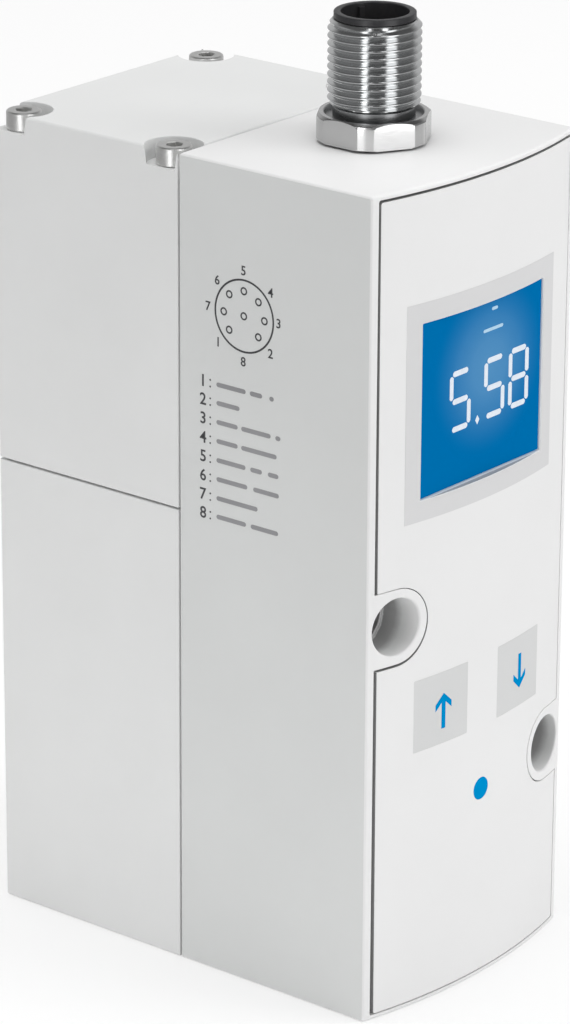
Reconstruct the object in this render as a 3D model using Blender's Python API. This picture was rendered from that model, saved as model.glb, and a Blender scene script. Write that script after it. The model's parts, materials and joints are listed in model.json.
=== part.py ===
"""Electro-pneumatic pressure regulator with a display, three keys and a round plug on top.

All lengths are in metres. X is the width, Y the depth with the display at -Y and the
manifold face at +Y, Z points up. The part stands on its flat base at z = 0.
"""

import math

import bmesh
import bpy

MM = 0.001

# Outer sizes
WIDTH = 42.0 * MM
REAR_DEPTH = 31.45 * MM
HEAD_DEPTH = 31.0 * MM
FRONT_BULGE = 2.78 * MM
HEIGHT = 111.5 * MM
SEAM_HEIGHT = 63.73 * MM

# Clearances
REST_GAP = 0.3 * MM
COVER_GAP = 0.35 * MM
KEY_GAP = 0.15 * MM
SLIDE_GAP = 0.05 * MM
FIT_GAP = 0.1 * MM

# Outer edges
EDGE_ROUND = 0.4 * MM
EDGE_STEPS = 2

# Cover screws in the four scooped corners
SCREW_INSET_X = 2.67 * MM
SCREW_INSET_Y = 2.94 * MM
SCREW_HEAD_RADIUS = 2.34 * MM
SCREW_HEAD_HEIGHT = 2.5 * MM
SCREW_SHANK_RADIUS = 1.2 * MM
SCREW_HEX_RADIUS = 1.15 * MM
SCREW_HEX_DEPTH = 1.3 * MM
SCREW_GRIP = 5.4 * MM
SCREW_TIP_CHAMFER = 0.4 * MM
SCREW_HEAD_ROUND = 0.25 * MM
CORNER_SCOOP_RADIUS = 3.8 * MM

# The two screw passages that run through the head and the valve body
PASSAGE_INSET = 4.73 * MM
PASSAGE_SEAM_DROP = 9.66 * MM
PASSAGE_PITCH = 26.45 * MM
PASSAGE_HEAD_RADIUS = 3.83 * MM
PASSAGE_SHANK_RADIUS = 2.25 * MM
PASSAGE_SEAT_DEPTH = 9.0 * MM
BOSS_RADIUS = 5.08 * MM

# Head housing and front cover
HEAD_WALL = 2.0 * MM
RIM_SIDE = 1.12 * MM
RIM_TOP = 0.62 * MM
COVER_THICKNESS = 1.6 * MM
ARC_STEPS = 18

# Display
WINDOW_HALF_WIDTH = 12.6 * MM
WINDOW_BOSS_ROOM = 11.05 * MM
WINDOW_TOP_ROOM = 17.9 * MM
SCREEN_RECESS = 1.5 * MM
SCREEN_THICKNESS = 1.7 * MM
SCREEN_FLANGE = 1.6 * MM
SCREEN_FLANGE_THICKNESS = 0.8 * MM
BACKLIGHT_THICKNESS = 2.6 * MM

# Keys
KEY_WIDTH = 10.0 * MM
KEY_HEIGHT = 9.94 * MM
KEY_CENTRE_X = 8.22 * MM
KEY_PASSAGE_DROP = 13.25 * MM
KEY_FLANGE = 0.8 * MM
KEY_FLANGE_THICKNESS = 0.8 * MM
KEY_TRAVEL = 0.4 * MM
EDIT_RADIUS = 1.55 * MM
EDIT_KEY_DROP = 13.87 * MM
MAT_THICKNESS = 0.8 * MM
MAT_MARGIN = 3.0 * MM

# Boards in the head
BOARD_THICKNESS = 1.6 * MM
BOARD_EDGE_GAP = 0.7 * MM
FRONT_BOARD_STANDOFF = 0.4 * MM
MAIN_BOARD_DEPTH = 19.5 * MM

# Round plug on top
PLUG_Y = -13.58 * MM
PLUG_THREAD_RADIUS = 6.0 * MM
PLUG_HEX_RADIUS = 7.5 * MM
PLUG_HEX_FLAT = 7.0 * MM
PLUG_HEX_HEIGHT = 3.4 * MM
PLUG_HEX_CHAMFER = 0.5 * MM
PLUG_HEX_TOP_RADIUS = 7.33 * MM
PLUG_THREAD_LENGTH = 12.1 * MM
PLUG_THREAD_CHAMFER = 0.6 * MM
PLUG_BORE_RADIUS = 4.85 * MM
PLUG_STUB_LENGTH = 6.4 * MM
PLUG_STUB_RADIUS = 5.9 * MM
INSERT_LIP_RADIUS = 5.25 * MM
INSERT_LIP_HEIGHT = 0.85 * MM
INSERT_BORE_RADIUS = 4.35 * MM
INSERT_POCKET_DEPTH = 8.4 * MM
PIN_RADIUS = 0.4 * MM
PIN_RING_RADIUS = 2.75 * MM
PIN_TOP_DEPTH = 2.4 * MM
PIN_TAIL = 2.0 * MM
PIN_TIP_RADIUS = 0.2 * MM
PIN_TIP_LENGTH = 0.25 * MM
RING_PINS = 7
NUT_FLAT = 7.5 * MM
NUT_HEIGHT = 2.6 * MM

# Main valve in the lower block
SPOOL_RADIUS = 5.0 * MM
SPOOL_NECK_RADIUS = 2.8 * MM
SPOOL_TRAVEL = 1.2 * MM
PORT_FIRST_Z = 16.0 * MM
PORT_TOP_ROOM = 12.5 * MM
PORT_SEAL_WEB = 0.83 * MM
PORT_GROOVE_RADIUS = 7.0 * MM
PORT_GROOVE_HALF = 2.5 * MM
PORT_WEB = 0.6 * MM
LAND_OVERLAP = 0.1 * MM
SPOOL_BOTTOM_Z = 11.0 * MM
SPOOL_TOP_LAND = 4.0 * MM
PISTON_SEAL_WEB = 1.05 * MM
PISTON_CHAMBER_DEPTH = 11.08 * MM
PISTON_THICKNESS = 4.8 * MM
PISTON_STOP_ROOM = 2.0 * MM
PISTON_GROOVE_DEPTH = 1.4 * MM
PISTON_GROOVE_HEIGHT = 1.8 * MM
PISTON_SOCKET_RADIUS = 2.6 * MM
PISTON_SOCKET_DEPTH = 2.8 * MM
BASE_PLUG_RADIUS = 6.6 * MM
BASE_PLUG_INSET = 0.5 * MM
BASE_PLUG_TOP = 5.0 * MM
BASE_PLUG_SEAT = 6.5 * MM
BASE_PLUG_HEX_RADIUS = 3.4 * MM
BASE_PLUG_HEX_DEPTH = 2.6 * MM
SENSOR_DUCT_RADIUS = 1.0 * MM

# Ring seals, by ring radius and half thickness
PORT_SEAL_ROOM = 1.15 * MM
PORT_SEAL_HALF = 0.72 * MM
BLOCK_SEAL_WALL = 1.9 * MM
BLOCK_SEAL_HALF = 0.7 * MM
BASE_SEAL_RING = 5.75 * MM
BASE_SEAL_HALF = 0.68 * MM
SENSOR_SEAL_RING = 2.6 * MM
SENSOR_SEAL_HALF = 0.5 * MM
PLUG_SEAL_RING = 6.45 * MM
PLUG_SEAL_HALF = 0.3 * MM
SEAL_SIDE_GAP = 0.1 * MM

# Pilot valves in the upper block
PILOT_PLATE_HALF_X = 15.0 * MM
PILOT_PLATE_HALF_Y = 12.0 * MM
PILOT_PLATE_THICKNESS = 4.5 * MM
PILOT_CENTRE_X = 8.6 * MM
PILOT_NOZZLE_RADIUS = 0.6 * MM
COIL_RADIUS = 7.5 * MM
COIL_HEIGHT = 24.0 * MM
COIL_BORE_RADIUS = 3.2 * MM
COIL_FLANGE_THICKNESS = 1.6 * MM
COIL_WAIST_RADIUS = 6.6 * MM
CORE_RADIUS = 3.0 * MM
CORE_HEAD_RADIUS = 5.0 * MM
CORE_HEAD_HEIGHT = 2.0 * MM
ARMATURE_RADIUS = 3.0 * MM
ARMATURE_LENGTH = 12.5 * MM
ARMATURE_TRAVEL = 0.5 * MM
ARMATURE_STOP_GAP = 0.1 * MM
ARMATURE_BORE_RADIUS = 1.9 * MM
ARMATURE_BORE_DEPTH = 4.0 * MM
WIRE_SLOT_HALF_X = 6.0 * MM
WIRE_SLOT_HALF_Z = 1.8 * MM

# Springs
WIRE_RADIUS = 0.25 * MM
ARMATURE_SPRING_RADIUS = 1.3 * MM
SPOOL_SPRING_RADIUS = 3.4 * MM
SPOOL_SPRING_WIRE = 0.4 * MM
SPRING_TURNS = 3
SPRING_STEPS = 10
WIRE_SIDES = 5

# Pressure sensor
SENSOR_HALF = 5.0 * MM
SENSOR_DEPTH = 4.5 * MM
SENSOR_NIPPLE_RADIUS = 1.6 * MM
SENSOR_NIPPLE_BORE = 0.6 * MM

# Places that follow from the sizes above
HALF = WIDTH / 2
Y_REAR = (REAR_DEPTH + HEAD_DEPTH + FRONT_BULGE) / 2
Y_SEAM = Y_REAR - REAR_DEPTH
Y_EDGE = Y_SEAM - HEAD_DEPTH
Y_FRONT = Y_EDGE - FRONT_BULGE
Y_BLOCK = Y_SEAM + REST_GAP / 2
Y_HEAD = Y_SEAM - REST_GAP / 2
FRONT_RADIUS = (HALF ** 2 + FRONT_BULGE ** 2) / (2 * FRONT_BULGE)
Z_LOWER = SEAM_HEIGHT - REST_GAP / 2
Z_UPPER = SEAM_HEIGHT + REST_GAP / 2
Y_BORE = (Y_BLOCK + Y_REAR) / 2
BLOCK_SEAL_RING = (Y_REAR - Y_BLOCK) / 2 - BLOCK_SEAL_WALL
PISTON_RADIUS = BLOCK_SEAL_RING - BLOCK_SEAL_HALF - PISTON_SEAL_WEB
PISTON_CHAMBER_FLOOR = Z_LOWER - PISTON_CHAMBER_DEPTH
PASSAGE_HIGH_Z = SEAM_HEIGHT - PASSAGE_SEAM_DROP
PASSAGE_LOW_Z = PASSAGE_HIGH_Z - PASSAGE_PITCH
KEY_CENTRE_Z = PASSAGE_HIGH_Z - KEY_PASSAGE_DROP
EDIT_Z = KEY_CENTRE_Z - EDIT_KEY_DROP
PORT_PITCH = (PISTON_CHAMBER_FLOOR - PORT_TOP_ROOM - PORT_FIRST_Z) / 2
PORT_Z = (PORT_FIRST_Z, PORT_FIRST_Z + PORT_PITCH, PORT_FIRST_Z + 2 * PORT_PITCH)
PORT_SEAL_RING = PORT_PITCH / 2 - PORT_SEAL_ROOM
PORT_RADIUS = PORT_SEAL_RING - PORT_SEAL_HALF - SEAL_SIDE_GAP - PORT_SEAL_WEB
WINDOW_BOTTOM = PASSAGE_HIGH_Z + BOSS_RADIUS + WINDOW_BOSS_ROOM
WINDOW_TOP = HEIGHT - WINDOW_TOP_ROOM
SCREW_X = HALF - SCREW_INSET_X
SCREW_YS = (Y_SEAM + SCREW_INSET_Y, Y_REAR - SCREW_INSET_Y)
Z_SCOOP = HEIGHT - SCREW_HEAD_HEIGHT
PASSAGE_X = HALF - PASSAGE_INSET
OPENING_X = HALF - RIM_SIDE
COVER_X = OPENING_X - COVER_GAP
OPENING_TOP = HEIGHT - RIM_TOP
COVER_TOP = OPENING_TOP - COVER_GAP
OPENING_BOTTOM = RIM_TOP
COVER_BOTTOM = OPENING_BOTTOM + COVER_GAP
Y_SCREEN = Y_FRONT + SCREEN_RECESS
Y_CAVITY = Y_HEAD - HEAD_WALL
Z_PLUG_BASE = HEIGHT + REST_GAP
Z_PLUG_HEX = HEIGHT + REST_GAP + PLUG_HEX_HEIGHT
Z_PLUG_END = Z_PLUG_HEX + PLUG_THREAD_LENGTH
FAR = 20.0 * MM


def front_y(x):
    """Y of the bulged front surface at x."""
    return Y_FRONT + FRONT_RADIUS - math.sqrt(FRONT_RADIUS ** 2 - x ** 2)


def front_arc(x0, x1, back=0.0, steps=ARC_STEPS):
    """Points along the bulged front from x0 to x1, set back by a distance."""
    points = []
    for i in range(steps + 1):
        x = x0 + (x1 - x0) * i / steps
        points.append((x, front_y(x) + back))
    return points


def clear_scene():
    for obj in list(bpy.data.objects):
        bpy.data.objects.remove(obj, do_unlink=True)


def material(name, color, metallic=0.0, roughness=0.5, emission=0.0):
    mat = bpy.data.materials.new(name)
    mat.use_nodes = True
    shader = mat.node_tree.nodes["Principled BSDF"]
    shader.inputs["Base Color"].default_value = (*color, 1.0)
    shader.inputs["Metallic"].default_value = metallic
    shader.inputs["Roughness"].default_value = roughness
    shader.inputs["Emission Color"].default_value = (*color, 1.0)
    shader.inputs["Emission Strength"].default_value = emission
    mat.diffuse_color = (*color, 1.0)
    return mat


def mesh_from(name, shells):
    """A mesh of one or more closed shells, each a pair of points and faces."""
    bm = bmesh.new()
    for points, faces in shells:
        verts = [bm.verts.new(p) for p in points]
        for face in faces:
            bm.faces.new([verts[i] for i in face])
    bmesh.ops.recalc_face_normals(bm, faces=bm.faces)
    mesh = bpy.data.meshes.new(name)
    bm.to_mesh(mesh)
    bm.free()
    return mesh


def loft(rings):
    """A closed shell through rings of equal point count, capped at both ends."""
    count = len(rings[0])
    points = [p for ring in rings for p in ring]
    faces = []
    for k in range(len(rings) - 1):
        low = k * count
        high = low + count
        for i in range(count):
            j = (i + 1) % count
            faces.append((low + i, low + j, high + j, high + i))
    faces.append(tuple(range(count)))
    last = (len(rings) - 1) * count
    faces.append(tuple(last + i for i in range(count)))
    return points, faces


def turned(profile, sides=32, centre=(0.0, 0.0, 0.0), axis="Z"):
    """A turned solid. The profile lists (radius, height) from one end to the other."""
    rings = []
    for radius, height in profile:
        ring = []
        for i in range(sides):
            a = 2 * math.pi * i / sides
            u = radius * math.cos(a)
            v = radius * math.sin(a)
            if axis == "Z":
                ring.append((centre[0] + u, centre[1] + v, centre[2] + height))
            else:
                ring.append((centre[0] + u, centre[1] + height, centre[2] + v))
        rings.append(ring)
    return loft(rings)


def ring_shape(profile, sides=32, centre=(0.0, 0.0, 0.0), axis="Z"):
    """A closed ring: the profile is a closed outline of (radius, height) points."""
    count = len(profile)
    points = []
    faces = []
    for i in range(sides):
        a = 2 * math.pi * i / sides
        for radius, height in profile:
            u = radius * math.cos(a)
            v = radius * math.sin(a)
            if axis == "Z":
                points.append((centre[0] + u, centre[1] + v, centre[2] + height))
            else:
                points.append((centre[0] + u, centre[1] + height, centre[2] + v))
    for i in range(sides):
        low = i * count
        high = ((i + 1) % sides) * count
        for k in range(count):
            m = (k + 1) % count
            faces.append((low + k, low + m, high + m, high + k))
    return points, faces


def seal_shape(ring, half, centre, axis="Z", sides=24, section=6):
    """A round-section ring seal."""
    profile = []
    for k in range(section):
        a = 2 * math.pi * k / section
        profile.append((ring + half * math.cos(a), half * math.sin(a)))
    return ring_shape(profile, sides, centre, axis)


def groove_shape(inner, outer, low, high, centre, axis="Z", sides=32):
    """A ring of square section, used to cut seal grooves."""
    profile = [(inner, low), (outer, low), (outer, high), (inner, high)]
    return ring_shape(profile, sides, centre, axis)


def box_shape(x0, x1, y0, y1, z0, z1):
    low = [(x0, y0, z0), (x1, y0, z0), (x1, y1, z0), (x0, y1, z0)]
    high = [(x, y, z1) for x, y, z in low]
    return loft([low, high])


def prism_z(outline, z0, z1):
    """An outline in X and Y, drawn up from z0 to z1."""
    return loft([[(x, y, z0) for x, y in outline], [(x, y, z1) for x, y in outline]])


def prism_y(outline, y0, y1):
    """An outline in X and Z, drawn back from y0 to y1."""
    return loft([[(x, y0, z) for x, z in outline], [(x, y1, z) for x, z in outline]])


def piece(name, shells, mat, origin=(0.0, 0.0, 0.0), smooth=False):
    """A named object whose origin sits at a chosen point."""
    moved = []
    for points, faces in shells:
        shifted = [(p[0] - origin[0], p[1] - origin[1], p[2] - origin[2]) for p in points]
        moved.append((shifted, faces))
    mesh = mesh_from(name, moved)
    if smooth:
        mesh.shade_smooth()
        mesh.set_sharp_from_angle(angle=math.radians(32))
    mesh.materials.append(mat)
    obj = bpy.data.objects.new(name, mesh)
    obj.location = origin
    bpy.context.scene.collection.objects.link(obj)
    return obj


def cutter(name, shells):
    """A hidden shape that only cuts or joins."""
    obj = bpy.data.objects.new(name, mesh_from(name, shells))
    obj.hide_render = True
    obj.display_type = "WIRE"
    bpy.context.scene.collection.objects.link(obj)
    return obj


def combine(obj, other, operation):
    mod = obj.modifiers.new(operation.lower(), "BOOLEAN")
    mod.operation = operation
    mod.solver = "EXACT"
    mod.object = other
    return mod


def cut(obj, name, shells):
    other = cutter(name, shells)
    combine(obj, other, "DIFFERENCE")
    return other


def round_edges(obj, width=EDGE_ROUND, steps=EDGE_STEPS):
    mod = obj.modifiers.new("edges", "BEVEL")
    mod.width = width
    mod.segments = steps
    mod.limit_method = "ANGLE"
    mod.angle_limit = math.radians(40)
    return mod


def hexagon(radius, x, y, z):
    """Six corner points of a level hexagon."""
    ring = []
    for k in range(6):
        a = k * math.pi / 3
        ring.append((x + radius * math.cos(a), y + radius * math.sin(a), z))
    return ring


def rounded_hex(flat, corner, z, arc=3):
    """A hexagon with flats across X and arcs of the turned corner radius between them."""
    half_flat = math.acos(flat / corner)
    points = []
    for k in range(6):
        start = k * math.pi / 3 + half_flat
        end = (k + 1) * math.pi / 3 - half_flat
        for i in range(arc + 1):
            a = start + (end - start) * i / arc
            points.append((corner * math.cos(a), corner * math.sin(a), z))
    return points


def boss_outline(x, z, radius, side_x, sides=16):
    """A D shape in X and Z: a half circle closed by straight lines out to the side wall."""
    sign = 1.0 if x > 0 else -1.0
    points = [(side_x * sign, z - radius)]
    for i in range(sides + 1):
        a = -math.pi / 2 - math.pi * i / sides
        points.append((x + sign * radius * math.cos(a), z + radius * math.sin(a)))
    points.append((side_x * sign, z + radius))
    return points


def passages():
    """Centres of the two long screw passages, left high and right low."""
    return ((-PASSAGE_X, PASSAGE_HIGH_Z), (PASSAGE_X, PASSAGE_LOW_Z))


def make_valve_body(mat):
    body = piece(
        "valve_body",
        [box_shape(-HALF, HALF, Y_BLOCK, Y_REAR, 0.0, Z_LOWER)],
        mat,
    )
    round_edges(body)
    bore = [
        (BASE_PLUG_RADIUS, -FAR),
        (BASE_PLUG_RADIUS, BASE_PLUG_SEAT),
        (SPOOL_RADIUS, BASE_PLUG_SEAT),
    ]
    for z in PORT_Z:
        bore.append((SPOOL_RADIUS, z - PORT_GROOVE_HALF))
        bore.append((PORT_GROOVE_RADIUS, z - PORT_GROOVE_HALF))
        bore.append((PORT_GROOVE_RADIUS, z + PORT_GROOVE_HALF))
        bore.append((SPOOL_RADIUS, z + PORT_GROOVE_HALF))
    bore.append((SPOOL_RADIUS, PISTON_CHAMBER_FLOOR))
    bore.append((PISTON_RADIUS, PISTON_CHAMBER_FLOOR))
    bore.append((PISTON_RADIUS, Z_LOWER + FAR))
    cut(body, "main_bore_cut", [turned(bore, 28, (0.0, Y_BORE, 0.0))])
    shells = []
    for z in PORT_Z:
        start = Y_BORE + SPOOL_RADIUS + PORT_WEB
        shells.append(
            turned([(PORT_RADIUS, start), (PORT_RADIUS, Y_REAR + FAR)], 18, (0.0, 0.0, z), "Y")
        )
        depth = 2 * PORT_SEAL_HALF + SEAL_SIDE_GAP / 2
        shells.append(
            groove_shape(
                PORT_SEAL_RING - PORT_SEAL_HALF - SEAL_SIDE_GAP,
                PORT_SEAL_RING + PORT_SEAL_HALF + SEAL_SIDE_GAP,
                Y_REAR - depth,
                Y_REAR + FAR / 4,
                (0.0, 0.0, z),
                "Y",
                20,
            )
        )
    shells.append(
        turned(
            [(SENSOR_DUCT_RADIUS, Y_BLOCK - FAR / 4), (SENSOR_DUCT_RADIUS, Y_BORE - SPOOL_RADIUS)],
            12,
            (0.0, 0.0, PORT_Z[1]),
            "Y",
        )
    )
    shells.append(
        groove_shape(
            SENSOR_SEAL_RING - SENSOR_SEAL_HALF - SEAL_SIDE_GAP,
            SENSOR_SEAL_RING + SENSOR_SEAL_HALF + SEAL_SIDE_GAP,
            Y_BLOCK - FAR / 4,
            Y_BLOCK + 2 * SENSOR_SEAL_HALF,
            (0.0, 0.0, PORT_Z[1]),
            "Y",
            16,
        )
    )
    for x, z in passages():
        shells.append(
            turned(
                [(PASSAGE_SHANK_RADIUS, Y_BLOCK - FAR / 4), (PASSAGE_SHANK_RADIUS, Y_REAR + FAR)],
                18,
                (x, 0.0, z),
                "Y",
            )
        )
    cut(body, "port_cut", shells)
    shells = [
        groove_shape(
            BLOCK_SEAL_RING - BLOCK_SEAL_HALF - SEAL_SIDE_GAP,
            BLOCK_SEAL_RING + BLOCK_SEAL_HALF + SEAL_SIDE_GAP,
            Z_LOWER - 2 * BLOCK_SEAL_HALF - SEAL_SIDE_GAP / 2,
            Z_LOWER + FAR,
            (0.0, Y_BORE, 0.0),
            "Z",
            32,
        )
    ]
    for x in (-SCREW_X, SCREW_X):
        for y in SCREW_YS:
            radius = SCREW_SHANK_RADIUS + FIT_GAP
            shells.append(
                turned([(radius, Z_LOWER - SCREW_GRIP), (radius, Z_LOWER + FAR)], 12, (x, y, 0.0))
            )
    cut(body, "top_face_cut", shells)
    return body


def make_pilot_block(mat):
    block = piece(
        "pilot_block",
        [box_shape(-HALF, HALF, Y_BLOCK, Y_REAR, Z_UPPER, HEIGHT)],
        mat,
    )
    round_edges(block)
    shells = []
    shank = SCREW_SHANK_RADIUS + 2 * FIT_GAP
    for x in (-SCREW_X, SCREW_X):
        for y in SCREW_YS:
            profile = [
                (shank, Z_UPPER - FAR),
                (shank, Z_SCOOP),
                (CORNER_SCOOP_RADIUS, Z_SCOOP),
                (CORNER_SCOOP_RADIUS, HEIGHT + FAR),
            ]
            shells.append(turned(profile, 32, (x, y, 0.0)))
    cut(block, "corner_cut", shells)
    cut(
        block,
        "plate_recess_cut",
        [
            box_shape(
                -PILOT_PLATE_HALF_X - REST_GAP,
                PILOT_PLATE_HALF_X + REST_GAP,
                Y_BORE - PILOT_PLATE_HALF_Y - REST_GAP,
                Y_BORE + PILOT_PLATE_HALF_Y + REST_GAP,
                Z_UPPER - FAR,
                Z_UPPER + PILOT_PLATE_THICKNESS + REST_GAP,
            )
        ],
    )
    top = coil_pocket_top()
    shells = []
    for x in (-PILOT_CENTRE_X, PILOT_CENTRE_X):
        radius = COIL_RADIUS + REST_GAP
        shells.append(turned([(radius, Z_UPPER), (radius, top)], 20, (x, Y_BORE, 0.0)))
    cut(block, "coil_pocket_cut", shells)
    z = wire_slot_z()
    cut(
        block,
        "wire_slot_cut",
        [
            box_shape(
                -WIRE_SLOT_HALF_X,
                WIRE_SLOT_HALF_X,
                Y_BLOCK - FAR / 4,
                Y_BORE,
                z - WIRE_SLOT_HALF_Z,
                z + WIRE_SLOT_HALF_Z,
            )
        ],
    )
    return block


def pilot_coil_base():
    return Z_UPPER + PILOT_PLATE_THICKNESS + REST_GAP


def coil_pocket_top():
    return pilot_coil_base() + COIL_HEIGHT + FIT_GAP + CORE_HEAD_HEIGHT + REST_GAP


def wire_slot_z():
    """Middle height of the wire slot between the coils and the head."""
    return coil_pocket_top() - REST_GAP - WIRE_SLOT_HALF_Z


def make_cover_screw(name, x, y, mat):
    tip = Z_LOWER - SCREW_GRIP + REST_GAP
    seat = Z_SCOOP
    head_top = HEIGHT
    profile = [
        (SCREW_SHANK_RADIUS - SCREW_TIP_CHAMFER, tip),
        (SCREW_SHANK_RADIUS, tip + SCREW_TIP_CHAMFER),
        (SCREW_SHANK_RADIUS, seat + SLIDE_GAP),
        (SCREW_HEAD_RADIUS, seat + SLIDE_GAP),
        (SCREW_HEAD_RADIUS, head_top - SCREW_HEAD_ROUND),
        (SCREW_HEAD_RADIUS - SCREW_HEAD_ROUND, head_top),
    ]
    screw = piece(name, [turned(profile, 20, (x, y, 0.0))], mat, (x, y, seat), True)
    socket = [
        hexagon(SCREW_HEX_RADIUS, x, y, head_top - SCREW_HEX_DEPTH),
        hexagon(SCREW_HEX_RADIUS, x, y, head_top + FAR / 4),
    ]
    cut(screw, name + "_socket_cut", [loft(socket)])
    return screw


def head_outline():
    """Plan of the head: straight sides and back, bulged front."""
    outline = [(HALF, Y_HEAD), (-HALF, Y_HEAD)]
    outline.extend(front_arc(-HALF, HALF))
    return outline


def make_head_housing(mat):
    head = piece("head_housing", [prism_z(head_outline(), 0.0, HEIGHT)], mat)
    round_edges(head)
    ledge = front_y(OPENING_X) + COVER_THICKNESS + REST_GAP
    opening = cutter(
        "opening_cut",
        [box_shape(-OPENING_X, OPENING_X, Y_FRONT - FAR, ledge, OPENING_BOTTOM, OPENING_TOP)],
    )
    inner = cutter(
        "cavity_cut",
        [
            box_shape(
                -HALF + HEAD_WALL,
                HALF - HEAD_WALL,
                Y_FRONT - FAR / 2,
                Y_CAVITY,
                HEAD_WALL,
                HEIGHT - HEAD_WALL,
            )
        ],
    )
    combine(opening, inner, "UNION")
    posts = cutter(
        "boss_keep",
        [
            prism_y(boss_outline(x, z, BOSS_RADIUS, HALF + FAR), Y_FRONT - 2 * FAR, Y_HEAD + FAR)
            for x, z in passages()
        ],
    )
    combine(opening, posts, "DIFFERENCE")
    combine(head, opening, "DIFFERENCE")
    shells = []
    seat = Y_SEAM - PASSAGE_SEAT_DEPTH
    for x, z in passages():
        profile = [
            (PASSAGE_HEAD_RADIUS, Y_FRONT - FAR),
            (PASSAGE_HEAD_RADIUS, seat),
            (PASSAGE_SHANK_RADIUS, seat),
            (PASSAGE_SHANK_RADIUS, Y_HEAD + FAR),
        ]
        shells.append(turned(profile, 32, (x, 0.0, z), "Y"))
    hole = PLUG_STUB_RADIUS + REST_GAP
    shells.append(
        turned(
            [(hole, HEIGHT - 2 * HEAD_WALL), (hole, HEIGHT + FAR)],
            36,
            (0.0, PLUG_Y, 0.0),
        )
    )
    nipple = SENSOR_NIPPLE_RADIUS + FIT_GAP
    shells.append(
        turned(
            [(nipple, Y_CAVITY - HEAD_WALL), (nipple, Y_HEAD + FAR / 4)],
            16,
            (0.0, 0.0, PORT_Z[1]),
            "Y",
        )
    )
    z = wire_slot_z()
    shells.append(
        box_shape(
            -WIRE_SLOT_HALF_X,
            WIRE_SLOT_HALF_X,
            Y_CAVITY - HEAD_WALL,
            Y_HEAD + FAR / 4,
            z - WIRE_SLOT_HALF_Z,
            z + WIRE_SLOT_HALF_Z,
        )
    )
    cut(head, "head_holes_cut", shells)
    return head


def make_front_cover(mat):
    """The bulged front plate, cut out for both bosses, the window and the keys."""
    outline = front_arc(-COVER_X, COVER_X)
    outline.extend(reversed(front_arc(-COVER_X, COVER_X, COVER_THICKNESS)))
    cover = piece("front_cover", [prism_z(outline, COVER_BOTTOM, COVER_TOP)], mat)
    shells = []
    front = Y_FRONT - FAR
    back = Y_EDGE + FAR / 4
    for x, z in passages():
        shells.append(prism_y(boss_outline(x, z, BOSS_RADIUS + REST_GAP, HALF + FAR), front, back))
    shells.append(
        box_shape(-WINDOW_HALF_WIDTH, WINDOW_HALF_WIDTH, front, back, WINDOW_BOTTOM, WINDOW_TOP)
    )
    half_x = KEY_WIDTH / 2 + KEY_GAP
    half_z = KEY_HEIGHT / 2 + KEY_GAP
    for x in (-KEY_CENTRE_X, KEY_CENTRE_X):
        shells.append(
            box_shape(
                x - half_x, x + half_x, front, back, KEY_CENTRE_Z - half_z, KEY_CENTRE_Z + half_z
            )
        )
    radius = EDIT_RADIUS + KEY_GAP
    shells.append(turned([(radius, front), (radius, back)], 20, (0.0, 0.0, EDIT_Z), "Y"))
    cut(cover, "cover_cut", shells)
    return cover


def rectangle(half_x, y, z0, z1):
    return [(-half_x, y, z0), (half_x, y, z0), (half_x, y, z1), (-half_x, y, z1)]


def screen_back():
    return Y_SCREEN + SCREEN_THICKNESS + SCREEN_FLANGE_THICKNESS


def make_display_panel(mat):
    """A display with a raised window land and a flange behind the cover."""
    half = WINDOW_HALF_WIDTH - KEY_GAP
    low = WINDOW_BOTTOM + KEY_GAP
    high = WINDOW_TOP - KEY_GAP
    step = Y_SCREEN + SCREEN_THICKNESS
    rings = [
        rectangle(half, Y_SCREEN, low, high),
        rectangle(half, step, low, high),
        rectangle(half + SCREEN_FLANGE, step, low - SCREEN_FLANGE, high + SCREEN_FLANGE),
        rectangle(half + SCREEN_FLANGE, screen_back(), low - SCREEN_FLANGE, high + SCREEN_FLANGE),
    ]
    return piece("display_panel", [loft(rings)], mat)


def make_backlight(mat):
    y = screen_back() + REST_GAP
    shape = box_shape(
        -WINDOW_HALF_WIDTH,
        WINDOW_HALF_WIDTH,
        y,
        y + BACKLIGHT_THICKNESS,
        WINDOW_BOTTOM,
        WINDOW_TOP,
    )
    return piece("backlight", [shape], mat)


def front_board_y():
    return screen_back() + REST_GAP + BACKLIGHT_THICKNESS + FRONT_BOARD_STANDOFF


def make_board(name, y, mat):
    """A circuit board, cut round the two passages."""
    side = HALF - HEAD_WALL - BOARD_EDGE_GAP
    low = HEAD_WALL + BOARD_EDGE_GAP
    high = Z_PLUG_BASE - PLUG_STUB_LENGTH - PIN_TAIL - BOARD_EDGE_GAP
    board = piece(name, [box_shape(-side, side, y, y + BOARD_THICKNESS, low, high)], mat)
    shells = []
    for x, z in passages():
        outline = boss_outline(x, z, BOSS_RADIUS + BOARD_EDGE_GAP, HALF + FAR)
        shells.append(prism_y(outline, y - FAR / 4, y + FAR / 4))
    cut(board, name + "_cut", shells)
    return board


def key_back():
    """Y of the back of every key."""
    return front_y(KEY_CENTRE_X + KEY_WIDTH / 2) + COVER_THICKNESS + REST_GAP + KEY_FLANGE_THICKNESS


def make_square_key(name, centre_x, mat):
    half = KEY_WIDTH / 2
    low = KEY_CENTRE_Z - KEY_HEIGHT / 2
    high = KEY_CENTRE_Z + KEY_HEIGHT / 2
    flange_front = key_back() - KEY_FLANGE_THICKNESS
    outline = front_arc(centre_x - half, centre_x + half, 0.0, 8)
    outline.append((centre_x + half, flange_front))
    outline.append((centre_x + half + KEY_FLANGE, flange_front))
    outline.append((centre_x + half + KEY_FLANGE, key_back()))
    outline.append((centre_x - half - KEY_FLANGE, key_back()))
    outline.append((centre_x - half - KEY_FLANGE, flange_front))
    outline.append((centre_x - half, flange_front))
    origin = (centre_x, key_back(), KEY_CENTRE_Z)
    return piece(name, [prism_z(outline, low, high)], mat, origin)


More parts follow.
